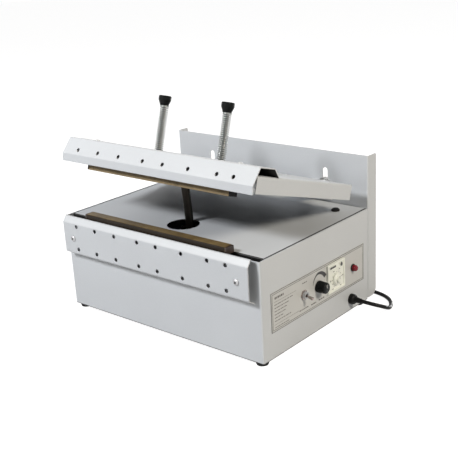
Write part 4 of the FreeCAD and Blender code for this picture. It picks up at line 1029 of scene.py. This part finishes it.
def make_stage():
    """A pale floor that keeps the object's shadow and looks white around it."""
    bpy.ops.mesh.primitive_plane_add(size=FLOOR_SIZE)
    floor = bpy.context.object
    floor.name = "floor"
    material, tree, shader, _ = start_material("pale_floor")
    set_inputs(tree, shader, Base_Color=rgb(WHITE, FLOOR_GREY), Roughness=0.9, Specular_IOR_Level=0.1)
    plain = shader.outputs["BSDF"]
    glow = add(tree, "Emission", Color=rgb(WHITE), Strength=FLOOR_GLOW).outputs["Emission"]
    both = add(tree, "AddShader")
    tree.links.new(plain, both.inputs[0])
    tree.links.new(glow, both.inputs[1])
    choose_by_ray(tree, plain, both.outputs["Shader"], "Material Output")
    floor.data.materials.append(material)


def make_world():
    world = bpy.data.worlds.new("studio")
    bpy.context.scene.world = world
    world.use_nodes = True
    tree = world.node_tree
    room = tree.nodes["Background"]
    set_inputs(tree, room, Color=rgb(ROOM_COLOUR), Strength=ROOM_LIGHT)
    white = add(tree, "Background", Color=rgb(WHITE), Strength=1.0)
    choose_by_ray(tree, room.outputs["Background"], white.outputs["Background"], "World Output")


def area_light(name, place, aim, size, power, colour=WHITE):
    data = bpy.data.lights.new(name, "AREA")
    data.shape = "DISK"
    data.size = size
    data.energy = power
    data.color = colour
    lamp = bpy.data.objects.new(name, data)
    lamp.location = place
    lamp.rotation_euler = (Vector(aim) - Vector(place)).to_track_quat("-Z", "Y").to_euler()
    bpy.context.collection.objects.link(lamp)


def make_lights():
    """Places and sizes in metres, power in watts. The fills at table height light the back and left walls."""
    area_light("key", place=(-0.73, -2.18, 2.05), aim=(0, 0, 0.12), size=0.6, power=74)
    area_light("front_fill", place=(-0.2, -3.0, 0.62), aim=(0, 0, 0.15), size=0.8, power=7)
    area_light("top", place=(0.0, -0.25, 2.7), aim=(0, 0, 0.1), size=0.8, power=4)
    warm = (1.0, 0.92, 0.79)
    area_light("right_fill", place=(2.4, -0.2, 1.85), aim=(0.1, 0, 0.1), size=0.7, power=61, colour=warm)
    area_light("back_fill", place=(0.05, 1.75, 0.06), aim=(0, 0.15, 0.12), size=0.1, power=10)
    area_light("left_fill", place=(-1.75, 0.3, 0.06), aim=(-0.2, 0, 0.1), size=0.1, power=7)


def make_camera():
    azimuth, elevation, roll = (math.radians(a) for a in (CAMERA_AZIMUTH, CAMERA_ELEVATION, CAMERA_ROLL))
    level = math.cos(elevation)
    back = Vector((math.sin(azimuth) * level, -math.cos(azimuth) * level, math.sin(elevation)))
    right = (-back).cross(Vector(UP)).normalized()
    up = right.cross(-back)
    turned_right = right * math.cos(roll) + up * math.sin(roll)
    turned_up = up * math.cos(roll) - right * math.sin(roll)
    data = bpy.data.cameras.new("photo_camera")
    data.lens = CAMERA_LENS
    data.sensor_width = CAMERA_SENSOR
    camera = bpy.data.objects.new("photo_camera", data)
    turn = Matrix((turned_right, turned_up, back)).transposed().to_4x4()
    camera.matrix_world = Matrix.Translation(CAMERA_PLACE) @ turn
    bpy.context.collection.objects.link(camera)
    bpy.context.scene.camera = camera
    bpy.context.scene.view_settings.view_transform = "Standard"


dress_nodes()
make_springs()
make_panel_prints()
make_heat_knob()
make_timer_details()
make_screw_details()
make_cord()
make_stage()
make_world()
make_lights()
make_camera()
